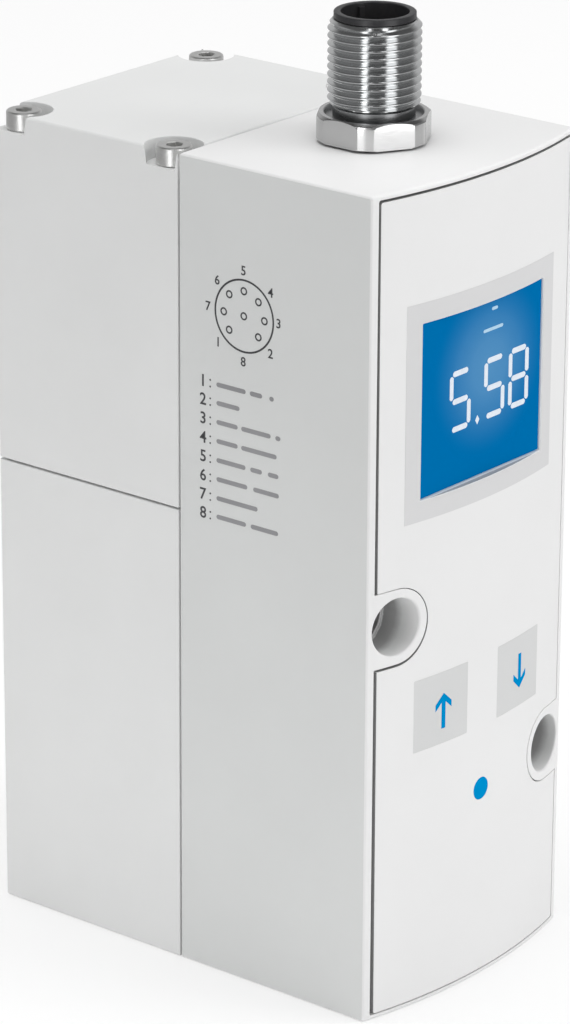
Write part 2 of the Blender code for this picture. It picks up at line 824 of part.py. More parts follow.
def make_edit_key(mat):
    flange_front = key_back() - KEY_FLANGE_THICKNESS
    profile = [
        (EDIT_RADIUS, front_y(EDIT_RADIUS)),
        (EDIT_RADIUS, flange_front),
        (EDIT_RADIUS + KEY_FLANGE, flange_front),
        (EDIT_RADIUS + KEY_FLANGE, key_back()),
    ]
    shape = turned(profile, 20, (0.0, 0.0, EDIT_Z), "Y")
    return piece("edit_key", [shape], mat, (0.0, key_back(), EDIT_Z), True)


def make_keypad_mat(mat):
    y = key_back() + KEY_TRAVEL + FIT_GAP
    half = KEY_CENTRE_X + KEY_WIDTH / 2
    high = KEY_CENTRE_Z + KEY_HEIGHT / 2
    low = EDIT_Z - EDIT_RADIUS - MAT_MARGIN
    pad = piece("keypad_mat", [box_shape(-half, half, y, y + MAT_THICKNESS, low, high)], mat)
    shells = []
    for x, z in passages():
        outline = boss_outline(x, z, BOSS_RADIUS + BOARD_EDGE_GAP, HALF + FAR)
        shells.append(prism_y(outline, y - FAR / 4, y + FAR / 4))
    cut(pad, "mat_cut", shells)
    return pad


def make_plug_shell(mat):
    """Metal body of the round plug: stub, hexagon with turned corners, threaded sleeve."""
    centre = (0.0, PLUG_Y, 0.0)
    stub_low = Z_PLUG_BASE - PLUG_STUB_LENGTH
    profile = [
        (PLUG_STUB_RADIUS, stub_low),
        (PLUG_STUB_RADIUS, Z_PLUG_HEX - PLUG_HEX_HEIGHT / 2),
        (PLUG_THREAD_RADIUS, Z_PLUG_HEX - PLUG_HEX_HEIGHT / 2),
        (PLUG_THREAD_RADIUS, Z_PLUG_END - PLUG_THREAD_CHAMFER),
        (PLUG_THREAD_RADIUS - PLUG_THREAD_CHAMFER, Z_PLUG_END),
    ]
    shell = piece("plug_shell", [turned(profile, 36, centre)], mat, (0.0, PLUG_Y, HEIGHT), True)
    rings = []
    for z, corner in (
        (Z_PLUG_BASE, PLUG_HEX_RADIUS),
        (Z_PLUG_HEX - PLUG_HEX_CHAMFER, PLUG_HEX_RADIUS),
        (Z_PLUG_HEX, PLUG_HEX_TOP_RADIUS),
    ):
        rings.append([(p[0], PLUG_Y + p[1], z) for p in rounded_hex(PLUG_HEX_FLAT, corner, z)])
    combine(shell, cutter("plug_hex_add", [loft(rings)]), "UNION")
    groove = groove_shape(
        PLUG_SEAL_RING - PLUG_SEAL_HALF - SEAL_SIDE_GAP / 2,
        PLUG_SEAL_RING + PLUG_SEAL_HALF + SEAL_SIDE_GAP / 2,
        Z_PLUG_BASE - FAR / 4,
        Z_PLUG_BASE + 2 * PLUG_SEAL_HALF,
        centre,
    )
    bore = turned(
        [(PLUG_BORE_RADIUS, stub_low - FAR / 4), (PLUG_BORE_RADIUS, Z_PLUG_END + FAR / 4)],
        32,
        centre,
    )
    cut(shell, "plug_groove_cut", [groove])
    cut(shell, "plug_bore_cut", [bore])
    return shell


def insert_top():
    return Z_PLUG_END + SLIDE_GAP + INSERT_LIP_HEIGHT


def make_plug_insert(mat):
    """Plastic insert with an open pocket that the contact pins stand in."""
    centre = (0.0, PLUG_Y, 0.0)
    low = Z_PLUG_BASE - PLUG_STUB_LENGTH
    lip = Z_PLUG_END + SLIDE_GAP
    outer = PLUG_BORE_RADIUS - SLIDE_GAP
    profile = [
        (outer, low),
        (outer, lip),
        (INSERT_LIP_RADIUS, lip),
        (INSERT_LIP_RADIUS, insert_top()),
        (INSERT_BORE_RADIUS, insert_top()),
        (INSERT_BORE_RADIUS, insert_top() - INSERT_POCKET_DEPTH),
    ]
    insert = piece("plug_insert", [turned(profile, 28, centre)], mat, (0.0, PLUG_Y, HEIGHT), True)
    shells = []
    radius = PIN_RADIUS + SLIDE_GAP
    for x, y in pin_places():
        shells.append(
            turned(
                [(radius, low - FAR / 4), (radius, insert_top() - INSERT_POCKET_DEPTH + FAR / 4)],
                8,
                (x, y, 0.0),
            )
        )
    cut(insert, "pin_hole_cut", shells)
    return insert


def pin_places():
    """Seven contacts on a circle and one in the middle."""
    places = []
    for k in range(RING_PINS):
        a = math.pi / 2 + 2 * math.pi * (k + 0.5) / RING_PINS
        places.append((PIN_RING_RADIUS * math.cos(a), PLUG_Y + PIN_RING_RADIUS * math.sin(a)))
    places.append((0.0, PLUG_Y))
    return places


def make_pin(name, x, y, mat):
    low = Z_PLUG_BASE - PLUG_STUB_LENGTH - PIN_TAIL
    high = insert_top() - PIN_TOP_DEPTH
    profile = [
        (PIN_RADIUS, low),
        (PIN_RADIUS, high - PIN_TIP_LENGTH),
        (PIN_TIP_RADIUS, high),
    ]
    return piece(name, [turned(profile, 8, (x, y, 0.0))], mat, (x, y, low), True)


def make_plug_nut(mat):
    top = HEIGHT - HEAD_WALL - REST_GAP
    corner = NUT_FLAT / math.cos(math.pi / 6)
    rings = [hexagon(corner, 0.0, PLUG_Y, top - NUT_HEIGHT), hexagon(corner, 0.0, PLUG_Y, top)]
    nut = piece("plug_nut", [loft(rings)], mat, (0.0, PLUG_Y, top))
    radius = PLUG_STUB_RADIUS + FIT_GAP
    cut(
        nut,
        "nut_bore_cut",
        [turned([(radius, top - NUT_HEIGHT - FAR), (radius, top + FAR)], 24, (0.0, PLUG_Y, 0.0))],
    )
    return nut


def piston_low():
    return PISTON_CHAMBER_FLOOR + SPOOL_TRAVEL + PISTON_STOP_ROOM


def make_piston(mat):
    low = piston_low()
    high = low + PISTON_THICKNESS
    outer = PISTON_RADIUS - 2 * SLIDE_GAP
    middle = (low + high) / 2
    half = PISTON_GROOVE_HEIGHT / 2
    profile = [
        (outer, low),
        (outer, middle - half),
        (outer - PISTON_GROOVE_DEPTH, middle - half),
        (outer - PISTON_GROOVE_DEPTH, middle + half),
        (outer, middle + half),
        (outer, high),
    ]
    origin = (0.0, Y_BORE, low)
    piston = piece("piston", [turned(profile, 28, (0.0, Y_BORE, 0.0))], mat, origin, True)
    socket = turned(
        [(PISTON_SOCKET_RADIUS, low - FAR), (PISTON_SOCKET_RADIUS, low + PISTON_SOCKET_DEPTH)],
        16,
        (0.0, Y_BORE, 0.0),
    )
    cut(piston, "piston_socket_cut", [socket])
    return piston


def make_piston_ring(mat):
    middle = piston_low() + PISTON_THICKNESS / 2
    outer = PISTON_RADIUS - SLIDE_GAP
    inner = PISTON_RADIUS - 2 * SLIDE_GAP - PISTON_GROOVE_DEPTH + FIT_GAP
    half = PISTON_GROOVE_HEIGHT / 2 - FIT_GAP
    shape = groove_shape(inner, outer, middle - half, middle + half, (0.0, Y_BORE, 0.0), "Z", 28)
    return piece("piston_ring", [shape], mat, (0.0, Y_BORE, middle), True)


def make_spool(mat):
    """Sliding spool: two lands that close the supply and exhaust ports at rest."""
    outer = SPOOL_RADIUS - SLIDE_GAP
    supply_edge = PORT_Z[0] + PORT_GROOVE_HALF + LAND_OVERLAP
    exhaust_edge = PORT_Z[2] - PORT_GROOVE_HALF - LAND_OVERLAP
    land_top = PORT_Z[2] + PORT_GROOVE_HALF + SPOOL_TOP_LAND
    peg = PISTON_SOCKET_RADIUS - FIT_GAP
    seat = piston_low() - SLIDE_GAP
    profile = [
        (outer, SPOOL_BOTTOM_Z),
        (outer, supply_edge),
        (SPOOL_NECK_RADIUS, supply_edge),
        (SPOOL_NECK_RADIUS, exhaust_edge),
        (outer, exhaust_edge),
        (outer, land_top),
        (SPOOL_NECK_RADIUS + FIT_GAP, land_top),
        (SPOOL_NECK_RADIUS + FIT_GAP, seat),
        (peg, seat),
        (peg, seat + PISTON_SOCKET_DEPTH - FIT_GAP),
    ]
    origin = (0.0, Y_BORE, SPOOL_BOTTOM_Z)
    return piece("spool", [turned(profile, 24, (0.0, Y_BORE, 0.0))], mat, origin, True)


def spring_shape(radius, wire, low, high, x, y, turns=SPRING_TURNS):
    """A coil spring with its ends closed by flat caps."""
    rings = []
    steps = turns * SPRING_STEPS
    rise = high - low - 2 * wire
    for i in range(steps + 1):
        a = 2 * math.pi * i / SPRING_STEPS
        z = low + wire + rise * i / steps
        ring = []
        for k in range(WIRE_SIDES):
            b = 2 * math.pi * k / WIRE_SIDES
            r = radius + wire * math.cos(b)
            ring.append((x + r * math.cos(a), y + r * math.sin(a), z + wire * math.sin(b)))
        rings.append(ring)
    return loft(rings)


def make_spool_spring(mat):
    low = BASE_PLUG_TOP + FIT_GAP
    high = SPOOL_BOTTOM_Z - FIT_GAP
    shape = spring_shape(SPOOL_SPRING_RADIUS, SPOOL_SPRING_WIRE, low, high, 0.0, Y_BORE)
    return piece("spool_spring", [shape], mat, (0.0, Y_BORE, low), True)


def make_base_plug(mat):
    outer = BASE_PLUG_RADIUS - FIT_GAP
    profile = [(outer, BASE_PLUG_INSET), (outer, BASE_PLUG_TOP)]
    origin = (0.0, Y_BORE, BASE_PLUG_INSET)
    plug = piece("base_plug", [turned(profile, 28, (0.0, Y_BORE, 0.0))], mat, origin, True)
    rings = [
        hexagon(BASE_PLUG_HEX_RADIUS, 0.0, Y_BORE, -FAR),
        hexagon(BASE_PLUG_HEX_RADIUS, 0.0, Y_BORE, BASE_PLUG_INSET + BASE_PLUG_HEX_DEPTH),
    ]
    cut(plug, "base_plug_socket_cut", [loft(rings)])
    return plug


def make_pilot_plate(mat):
    """Plate under the coils with one nozzle for each pilot valve."""
    low = Z_UPPER + REST_GAP / 2
    plate = piece(
        "pilot_plate",
        [
            box_shape(
                -PILOT_PLATE_HALF_X,
                PILOT_PLATE_HALF_X,
                Y_BORE - PILOT_PLATE_HALF_Y,
                Y_BORE + PILOT_PLATE_HALF_Y,
                low,
                Z_UPPER + PILOT_PLATE_THICKNESS,
            )
        ],
        mat,
        (0.0, Y_BORE, low),
    )
    shells = []
    for x in (-PILOT_CENTRE_X, PILOT_CENTRE_X):
        shells.append(
            turned(
                [(PILOT_NOZZLE_RADIUS, Z_UPPER - FAR), (PILOT_NOZZLE_RADIUS, Z_UPPER + FAR)],
                12,
                (x, Y_BORE, 0.0),
            )
        )
    cut(plate, "nozzle_cut", shells)
    return plate


def make_coil(name, x, mat):
    low = pilot_coil_base()
    high = low + COIL_HEIGHT
    profile = [
        (COIL_BORE_RADIUS, low),
        (COIL_RADIUS, low),
        (COIL_RADIUS, low + COIL_FLANGE_THICKNESS),
        (COIL_WAIST_RADIUS, low + COIL_FLANGE_THICKNESS),
        (COIL_WAIST_RADIUS, high - COIL_FLANGE_THICKNESS),
        (COIL_RADIUS, high - COIL_FLANGE_THICKNESS),
        (COIL_RADIUS, high),
        (COIL_BORE_RADIUS, high),
    ]
    shape = ring_shape(profile, 20, (x, Y_BORE, 0.0))
    return piece(name, [shape], mat, (x, Y_BORE, low), True)


def armature_low():
    return Z_UPPER + PILOT_PLATE_THICKNESS + SLIDE_GAP


def core_low():
    return armature_low() + ARMATURE_LENGTH + ARMATURE_TRAVEL + ARMATURE_STOP_GAP


def make_core(name, x, mat):
    high = pilot_coil_base() + COIL_HEIGHT + FIT_GAP
    profile = [
        (CORE_RADIUS, core_low()),
        (CORE_RADIUS, high),
        (CORE_HEAD_RADIUS, high),
        (CORE_HEAD_RADIUS, high + CORE_HEAD_HEIGHT),
    ]
    shape = turned(profile, 16, (x, Y_BORE, 0.0))
    return piece(name, [shape], mat, (x, Y_BORE, core_low()), True)


def make_armature(name, x, mat):
    low = armature_low()
    high = low + ARMATURE_LENGTH
    profile = [
        (ARMATURE_RADIUS, low),
        (ARMATURE_RADIUS, high),
        (ARMATURE_BORE_RADIUS, high),
        (ARMATURE_BORE_RADIUS, high - ARMATURE_BORE_DEPTH),
    ]
    shape = turned(profile, 16, (x, Y_BORE, 0.0))
    return piece(name, [shape], mat, (x, Y_BORE, low), True)


def make_armature_spring(name, x, mat):
    low = armature_low() + ARMATURE_LENGTH - ARMATURE_BORE_DEPTH + SLIDE_GAP
    high = core_low() - SLIDE_GAP
    shape = spring_shape(ARMATURE_SPRING_RADIUS, WIRE_RADIUS, low, high, x, Y_BORE)
    return piece(name, [shape], mat, (x, Y_BORE, high), True)


def make_pressure_sensor(mat):
    """Sensor inside the head whose nipple reaches the outlet duct of the valve body."""
    back = Y_CAVITY - REST_GAP
    z = PORT_Z[1]
    rings = []
    for y in (back - SENSOR_DEPTH, back):
        rings.append(
            [
                (-SENSOR_HALF, y, z - SENSOR_HALF),
                (SENSOR_HALF, y, z - SENSOR_HALF),
                (SENSOR_HALF, y, z + SENSOR_HALF),
                (-SENSOR_HALF, y, z + SENSOR_HALF),
            ]
        )
    sensor = piece("pressure_sensor", [loft(rings)], mat, (0.0, back, z))
    nipple = cutter(
        "nipple_add",
        [
            turned(
                [(SENSOR_NIPPLE_RADIUS, back - SENSOR_DEPTH / 2), (SENSOR_NIPPLE_RADIUS, Y_HEAD)],
                20,
                (0.0, 0.0, z),
                "Y",
            )
        ],
    )
    combine(sensor, nipple, "UNION")
    cut(
        sensor,
        "nipple_bore_cut",
        [
            turned(
                [(SENSOR_NIPPLE_BORE, back - SENSOR_DEPTH / 2), (SENSOR_NIPPLE_BORE, Y_HEAD + FAR)],
                12,
                (0.0, 0.0, z),
                "Y",
            )
        ],
    )
    return sensor


def make_seals(rubber):
    for number, z in enumerate(PORT_Z, start=1):
        centre = (0.0, Y_REAR - PORT_SEAL_HALF - SEAL_SIDE_GAP / 4, z)
        shape = seal_shape(PORT_SEAL_RING, PORT_SEAL_HALF, centre, "Y", 20)
        piece("port_seal_%d" % number, [shape], rubber, centre, True)
    centre = (0.0, Y_BORE, Z_LOWER - BLOCK_SEAL_HALF - SEAL_SIDE_GAP / 4)
    shape = seal_shape(BLOCK_SEAL_RING, BLOCK_SEAL_HALF, centre, "Z", 32)
    piece("block_seal", [shape], rubber, centre, True)
    centre = (0.0, Y_BORE, (BASE_PLUG_TOP + BASE_PLUG_SEAT) / 2)
    shape = seal_shape(BASE_SEAL_RING, BASE_SEAL_HALF, centre, "Z", 20)
    piece("base_plug_seal", [shape], rubber, centre, True)
    centre = (0.0, Y_BLOCK + SENSOR_SEAL_HALF - SEAL_SIDE_GAP / 2, PORT_Z[1])
    shape = seal_shape(SENSOR_SEAL_RING, SENSOR_SEAL_HALF, centre, "Y", 16)
    piece("sensor_seal", [shape], rubber, centre, True)
    centre = (0.0, PLUG_Y, Z_PLUG_BASE + PLUG_SEAL_HALF - SEAL_SIDE_GAP)
    shape = seal_shape(PLUG_SEAL_RING, PLUG_SEAL_HALF, centre, "Z", 24)
    piece("plug_seal", [shape], rubber, centre, True)


def main():
    clear_scene()
    casing = material("casing_grey", (0.76, 0.77, 0.77), 0.0, 0.45)
    cover = material("cover_white", (0.80, 0.80, 0.80), 0.0, 0.40)
    key_grey = material("key_grey", (0.63, 0.64, 0.64), 0.0, 0.45)
    key_blue = material("key_blue", (0.0, 0.26, 0.62), 0.0, 0.40)
    screen = material("screen_blue", (0.0, 0.15, 0.42), 0.0, 0.20, 0.5)
    steel = material("screw_steel", (0.62, 0.62, 0.60), 1.0, 0.30)
    chrome = material("plug_chrome", (0.75, 0.75, 0.75), 1.0, 0.12)
    black = material("insert_black", (0.02, 0.02, 0.02), 0.0, 0.45)
    gold = material("pin_gold", (0.83, 0.62, 0.25), 1.0, 0.25)
    rubber = material("seal_rubber", (0.03, 0.03, 0.03), 0.0, 0.80)
    silicone = material("mat_silicone", (0.55, 0.56, 0.58), 0.0, 0.70)
    board = material("board_green", (0.03, 0.22, 0.08), 0.0, 0.45)
    milky = material("backlight_milky", (0.80, 0.85, 0.88), 0.0, 0.50)
    alloy = material("spool_alloy", (0.70, 0.71, 0.72), 1.0, 0.30)
    winding = material("coil_black", (0.05, 0.05, 0.06), 0.0, 0.55)
    iron = material("core_steel", (0.45, 0.45, 0.46), 1.0, 0.35)
    resin = material("pilot_resin", (0.25, 0.26, 0.28), 0.0, 0.55)
    spring = material("spring_steel", (0.50, 0.50, 0.50), 1.0, 0.30)
    ceramic = material("sensor_ceramic", (0.75, 0.74, 0.70), 0.0, 0.40)

    make_valve_body(casing)
    make_pilot_block(casing)
    make_head_housing(casing)
    make_front_cover(cover)

    make_display_panel(screen)
    make_backlight(milky)
    make_square_key("up_key", -KEY_CENTRE_X, key_grey)
    make_square_key("down_key", KEY_CENTRE_X, key_grey)
    make_edit_key(key_blue)
    make_keypad_mat(silicone)
    make_board("display_board", front_board_y(), board)
    make_board("main_board", Y_FRONT + MAIN_BOARD_DEPTH, board)
    make_pressure_sensor(ceramic)

    number = 1
    for x in (-SCREW_X, SCREW_X):
        for y in SCREW_YS:
            make_cover_screw("cover_screw_%d" % number, x, y, steel)
            number += 1

    make_plug_shell(chrome)
    make_plug_insert(black)
    make_plug_nut(alloy)
    for number, (x, y) in enumerate(pin_places(), start=1):
        make_pin("contact_pin_%d" % number, x, y, gold)

    make_piston(alloy)
    make_piston_ring(rubber)
    make_spool(alloy)
    make_spool_spring(spring)
    make_base_plug(alloy)

    make_pilot_plate(resin)
    for number, x in enumerate((-PILOT_CENTRE_X, PILOT_CENTRE_X), start=1):
        make_coil("pilot_coil_%d" % number, x, winding)
        make_core("pilot_core_%d" % number, x, iron)
        make_armature("pilot_armature_%d" % number, x, iron)
        make_armature_spring("pilot_spring_%d" % number, x, spring)

    make_seals(rubber)


main()
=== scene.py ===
"""Looks of the pressure regulator: finer casings, printed marks, lit display and threaded plug.

Lengths in this script are in millimetres and become metres when a mesh is made. The frame is
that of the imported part: X is the width, the display faces -Y, Z points up from the base.
"""

import json
import math

import bmesh
import bpy
from mathutils import Matrix, Vector


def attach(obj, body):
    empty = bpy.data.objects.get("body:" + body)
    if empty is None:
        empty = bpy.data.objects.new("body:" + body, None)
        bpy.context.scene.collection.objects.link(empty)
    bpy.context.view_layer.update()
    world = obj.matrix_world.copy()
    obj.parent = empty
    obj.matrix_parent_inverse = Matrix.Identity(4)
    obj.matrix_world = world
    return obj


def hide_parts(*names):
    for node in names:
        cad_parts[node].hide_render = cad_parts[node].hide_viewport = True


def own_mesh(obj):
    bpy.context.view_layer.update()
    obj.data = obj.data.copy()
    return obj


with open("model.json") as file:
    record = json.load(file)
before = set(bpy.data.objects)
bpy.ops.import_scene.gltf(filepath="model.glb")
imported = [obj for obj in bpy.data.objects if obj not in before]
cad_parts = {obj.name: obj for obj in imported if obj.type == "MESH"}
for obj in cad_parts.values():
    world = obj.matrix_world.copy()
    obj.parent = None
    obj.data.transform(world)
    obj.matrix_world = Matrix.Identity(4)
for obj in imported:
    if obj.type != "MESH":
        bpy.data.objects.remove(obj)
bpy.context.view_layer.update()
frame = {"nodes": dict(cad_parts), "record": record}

MM = 0.001

# Outer sizes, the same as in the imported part
HALF = 21.0
Y_REAR = 32.615
Y_SEAM = 1.165
Y_EDGE = -29.835
Y_FRONT = -32.615
BULGE = Y_EDGE - Y_FRONT
FRONT_RADIUS = (HALF ** 2 + BULGE ** 2) / (2 * BULGE)
HEIGHT = 111.5
SEAM = 63.73
GAP = 0.3
Y_BLOCK = Y_SEAM + GAP / 2
Y_HEAD = Y_SEAM - GAP / 2
Z_LOWER = SEAM - GAP / 2
Z_UPPER = SEAM + GAP / 2
Y_BORE = (Y_BLOCK + Y_REAR) / 2
EDGE = 0.4
SEAM_EDGE = 0.12
WALL = 2.0

# How far a cutter reaches past the surface that it opens
BEYOND = 6.0

# Thickness of printed ink, and the steps that leave room for it
INK = 0.02
SIDE_STEP = 0.02
COVER_STEP = 0.03

# Passages, cover, window and keys
PASSAGES = ((-16.27, 54.07), (16.27, 27.62))
PASSAGE_RADIUS = 3.83
SHANK_RADIUS = 2.25
SEAT_Y = Y_SEAM - 9.0
LEDGE_Y = Y_FRONT + 7.1
LEDGE = 0.42
BOSS_RADIUS = 5.08
OPENING_X = HALF - 1.12
OPENING_LOW = 0.62
OPENING_HIGH = HEIGHT - 0.62
COVER_GAP = 0.35
COVER_THICKNESS = 1.6
WINDOW_X = 12.6
WINDOW_LOW = 70.2
WINDOW_HIGH = 93.6
SCREEN_Y = Y_FRONT + 1.2
KEY_X = 8.22
KEY_Z = 40.82
KEY_HALF_X = 5.0
KEY_HALF_Z = 4.97
DOT_RADIUS = 1.55
DOT_Z = 26.95
KEY_SLIT = 0.012
KEY_FLANGE = 0.8
RIM = 0.06

# Printed border of the display: half width, lower and upper edge
BORDER = (15.3, 67.45, 96.38)

# Valve bore, rear ports and pilot valves
PORT_Z = (16.0, 28.0, 40.0)
PORT_RADIUS = 3.2
BORE_RADIUS = 5.0
GROOVE_RADIUS = 7.0
PISTON_RADIUS = 12.0
PISTON_LOW = 52.5
COIL_X = 8.6
COIL_RADIUS = 7.8
COIL_BASE = Z_UPPER + 4.5 + GAP
COIL_TOP = COIL_BASE + 24.0 + 0.1 + 2.0 + GAP
CABLE_HALF_X = 6.0
CABLE_HALF_Z = 1.8
CABLE_Z = COIL_TOP - GAP - CABLE_HALF_Z
SENSOR_HOLE = 1.7

# Cover screws
SCREW_X = HALF - 2.67
SCREW_YS = (Y_SEAM + 2.94, Y_REAR - 2.94)
SCREW_HEAD = 2.34
SCREW_HEAD_HEIGHT = 2.5
SCOOP_RADIUS = 3.8

# Round plug
PLUG_Y = -13.58
HEX_LOW = HEIGHT + GAP
HEX_HIGH = HEX_LOW + 3.4
THREAD_HIGH = HEX_HIGH + 12.1
THREAD_RADIUS = 6.0
THREAD_PITCH = 1.0
THREAD_DEPTH = 0.5
THREAD_LOW = HEX_HIGH + 0.9
UNDERCUT_RADIUS = 5.3
RECESS_RADIUS = 6.5
RECESS_DEPTH = 0.6
SHELL_BORE = 4.85
STUB_LOW = HEX_LOW - 6.4
HEX_FLAT = 7.0


def clamp(value, low, high):
    return min(max(value, low), high)


def front_y(x):
    """Depth of the bulged front at a distance from its middle."""
    return Y_FRONT + FRONT_RADIUS - math.sqrt(FRONT_RADIUS ** 2 - x ** 2)


# Mesh helpers


def make_mesh(name, shells, smooth=30.0):
    """An object at the origin from closed shells given in millimetres."""
    bm = bmesh.new()
    for points, faces in shells:
        verts = [bm.verts.new((p[0] * MM, p[1] * MM, p[2] * MM)) for p in points]
        for face in faces:
            bm.faces.new([verts[i] for i in face])
    bmesh.ops.recalc_face_normals(bm, faces=bm.faces)
    mesh = bpy.data.meshes.new(name)
    bm.to_mesh(mesh)
    bm.free()
    if smooth:
        mesh.shade_smooth()
        mesh.set_sharp_from_angle(angle=math.radians(smooth))
    obj = bpy.data.objects.new(name, mesh)
    bpy.context.scene.collection.objects.link(obj)
    return obj


def loft(rings, closed_ends=True):
    count = len(rings[0])
    points = [p for ring in rings for p in ring]
    faces = []
    for k in range(len(rings) - 1):
        low = k * count
        high = low + count
        for i in range(count):
            j = (i + 1) % count
            faces.append((low + i, low + j, high + j, high + i))
    if closed_ends:
        faces.append(tuple(range(count)))
        last = (len(rings) - 1) * count
        faces.append(tuple(last + i for i in range(count)))
    return points, faces


def turned(profile, sides=64, centre=(0.0, 0.0, 0.0), axis="Z"):
    """A turned solid from (radius, height) pairs, closed at both ends."""
    rings = []
    for radius, height in profile:
        ring = []
        for i in range(sides):
            a = 2 * math.pi * i / sides
            u = radius * math.cos(a)
            v = radius * math.sin(a)
            if axis == "Z":
                ring.append((centre[0] + u, centre[1] + v, centre[2] + height))
            else:
                ring.append((centre[0] + u, centre[1] + height, centre[2] + v))
        rings.append(ring)
    return loft(rings)


def turned_ring(profile, sides=64, centre=(0.0, 0.0, 0.0)):
    """A ring turned about Z from a closed outline of (radius, height) points."""
    rings = []
    for i in range(sides):
        a = 2 * math.pi * i / sides
        ring = []
        for r, h in profile:
            ring.append(
                (centre[0] + r * math.cos(a), centre[1] + r * math.sin(a), centre[2] + h)
            )
        rings.append(ring)
    points, faces = loft(rings, False)
    count = len(profile)
    last = (sides - 1) * count
    for k in range(count):
        m = (k + 1) % count
        faces.append((last + k, last + m, m, k))
    return points, faces


def box(x0, x1, y0, y1, z0, z1):
    low = [(x0, y0, z0), (x1, y0, z0), (x1, y1, z0), (x0, y1, z0)]
    return loft([low, [(x, y, z1) for x, y, z in low]])


def fillet_steps(radius, steps=4):
    """Pairs of inward offset and depth round a quarter turn, from the face to the side."""
    pairs = []
    for k in range(steps + 1):
        a = math.pi / 2 * k / steps
        pairs.append((radius * (1 - math.sin(a)), radius * (1 - math.cos(a))))
    return pairs


def rounded_rect(x0, x1, z0, z1, corner, steps=4):
    """Outline of a rectangle in X and Z with rounded corners."""
    corner = max(corner, 0.01)
    points = []
    for cx, cz, start in (
        (x1 - corner, z1 - corner, 0.0),
        (x0 + corner, z1 - corner, 90.0),
        (x0 + corner, z0 + corner, 180.0),
        (x1 - corner, z0 + corner, 270.0),
    ):
        for i in range(steps + 1):
            a = math.radians(start + 90.0 * i / steps)
            points.append((cx + corner * math.cos(a), cz + corner * math.sin(a)))
    return points


def spaced(outline, longest=1.0):
    """The same outline function with long runs cut alike at every offset."""
    base = outline(0.0)
    parts = []
    for i, a in enumerate(base):
        b = base[(i + 1) % len(base)]
        parts.append(max(1, math.ceil(math.hypot(b[0] - a[0], b[1] - a[1]) / longest)))

    def result(offset):
        ring = outline(offset)
        points = []
        for i, a in enumerate(ring):
            b = ring[(i + 1) % len(ring)]
            for k in range(parts[i]):
                t = k / parts[i]
                points.append((a[0] + (b[0] - a[0]) * t, a[1] + (b[1] - a[1]) * t))
        return points

    return result


def boss_outline(x, z, radius, steps=40):
    """A D shape in X and Z that runs out past the side wall."""
    side = HALF + 4.0
    sign = 1.0 if x > 0 else -1.0
    points = [(side * sign, z - radius)]
    for i in range(steps + 1):
        a = -math.pi / 2 - math.pi * i / steps
        points.append((x + sign * radius * math.cos(a), z + radius * math.sin(a)))
    points.append((side * sign, z + radius))
    return points


def rect_shape(x0, x1, z0, z1, corner):
    """A rounded rectangle as a function of an outward offset."""

    def outline(offset):
        corners = (x0 - offset, x1 + offset, z0 - offset, z1 + offset)
        return rounded_rect(*corners, corner + offset)

    return outline


def circle_shape(x, z, radius, sides=64):
    """A circle as a function of an outward offset."""
    return lambda offset: circle(x, z, radius + offset, sides)


def boss_shape(x, z, radius):
    """The D shape of a boss as a function of an outward offset."""
    return spaced(lambda offset: boss_outline(x, z, radius + offset), 0.5)


def circle(x, z, radius, sides=64):
    points = []
    for i in range(sides):
        a = 2 * math.pi * i / sides
        points.append((x + radius * math.cos(a), z + radius * math.sin(a)))
    return points


def curved_cutter(outline, round_radius, back, sign=1.0, step=0.0):
    """A cutter whose mouth is rounded where it meets the bulged front.

    outline is a function of an outward offset. A sign of -1 makes the shape that is kept
    instead of cut, so its rim draws in towards the face.
    """
    rings = [[(x, Y_FRONT - BEYOND, z) for x, z in outline(sign * round_radius)]]
    for offset, depth in fillet_steps(round_radius):
        ring = outline(sign * offset)
        rings.append([(x, front_y(clamp(x, -HALF, HALF)) + step + depth, z) for x, z in ring])
    rings.append([(x, back, z) for x, z in outline(0.0)])
    return loft(rings)


def boolean(obj, shells, operation="DIFFERENCE"):
    """Cut an object by closed shells, or join or intersect it with them."""
    combine(obj, make_mesh(obj.name + "_cut", shells, 0), operation)


def combine(obj, other, operation="DIFFERENCE"):
    """The same with another object, which is used up."""
    mod = obj.modifiers.new("cut", "BOOLEAN")
    mod.operation = operation
    mod.solver = "EXACT"
    mod.object = other
    apply_all(obj)
    bpy.data.objects.remove(other)


def apply_all(obj):
    """Replace an object's mesh by what its modifiers make of it."""
    bpy.context.view_layer.update()
    graph = bpy.context.evaluated_depsgraph_get()
    mesh = bpy.data.meshes.new_from_object(obj.evaluated_get(graph))
    obj.modifiers.clear()
    obj.data = mesh


def tidy(obj, angle=30.0):
    """Clean shading after cuts: flat faces stay flat, curved ones smooth."""
    mesh = obj.data
    mesh.shade_smooth()
    mesh.set_sharp_from_angle(angle=math.radians(angle))
    mod = obj.modifiers.new("normals", "WEIGHTED_NORMAL")
    mod.keep_sharp = True
    apply_all(obj)


def finish_piece(obj, mat, body, nodes=()):
    """Give a piece its material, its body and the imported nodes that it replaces."""
    obj.data.materials.clear()
    obj.data.materials.append(mat)
    for polygon in obj.data.polygons:
        polygon.material_index = 0
    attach(obj, body)
    if nodes:
        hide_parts(*nodes)
    return obj


def paint(obj, mat, test):
    """Another material on the faces that pass a test of centre (in mm) and normal."""
    obj.data.materials.append(mat)
    for polygon in obj.data.polygons:
        if test(polygon.center / MM, polygon.normal):
            polygon.material_index = len(obj.data.materials) - 1


# Materials


def add_node(tree, kind, inputs=None, **settings):
    """A shader node. Each of its inputs is a socket to link or a constant to set."""
    node = tree.nodes.new("ShaderNode" + kind)
    for name, setting in settings.items():
        setattr(node, name, setting)
    feed(tree, node, inputs or {})
    return node


def feed(tree, node, inputs):
    for key, value in inputs.items():
        if isinstance(value, bpy.types.NodeSocket):
            tree.links.new(value, node.inputs[key])
        else:
            node.inputs[key].default_value = value


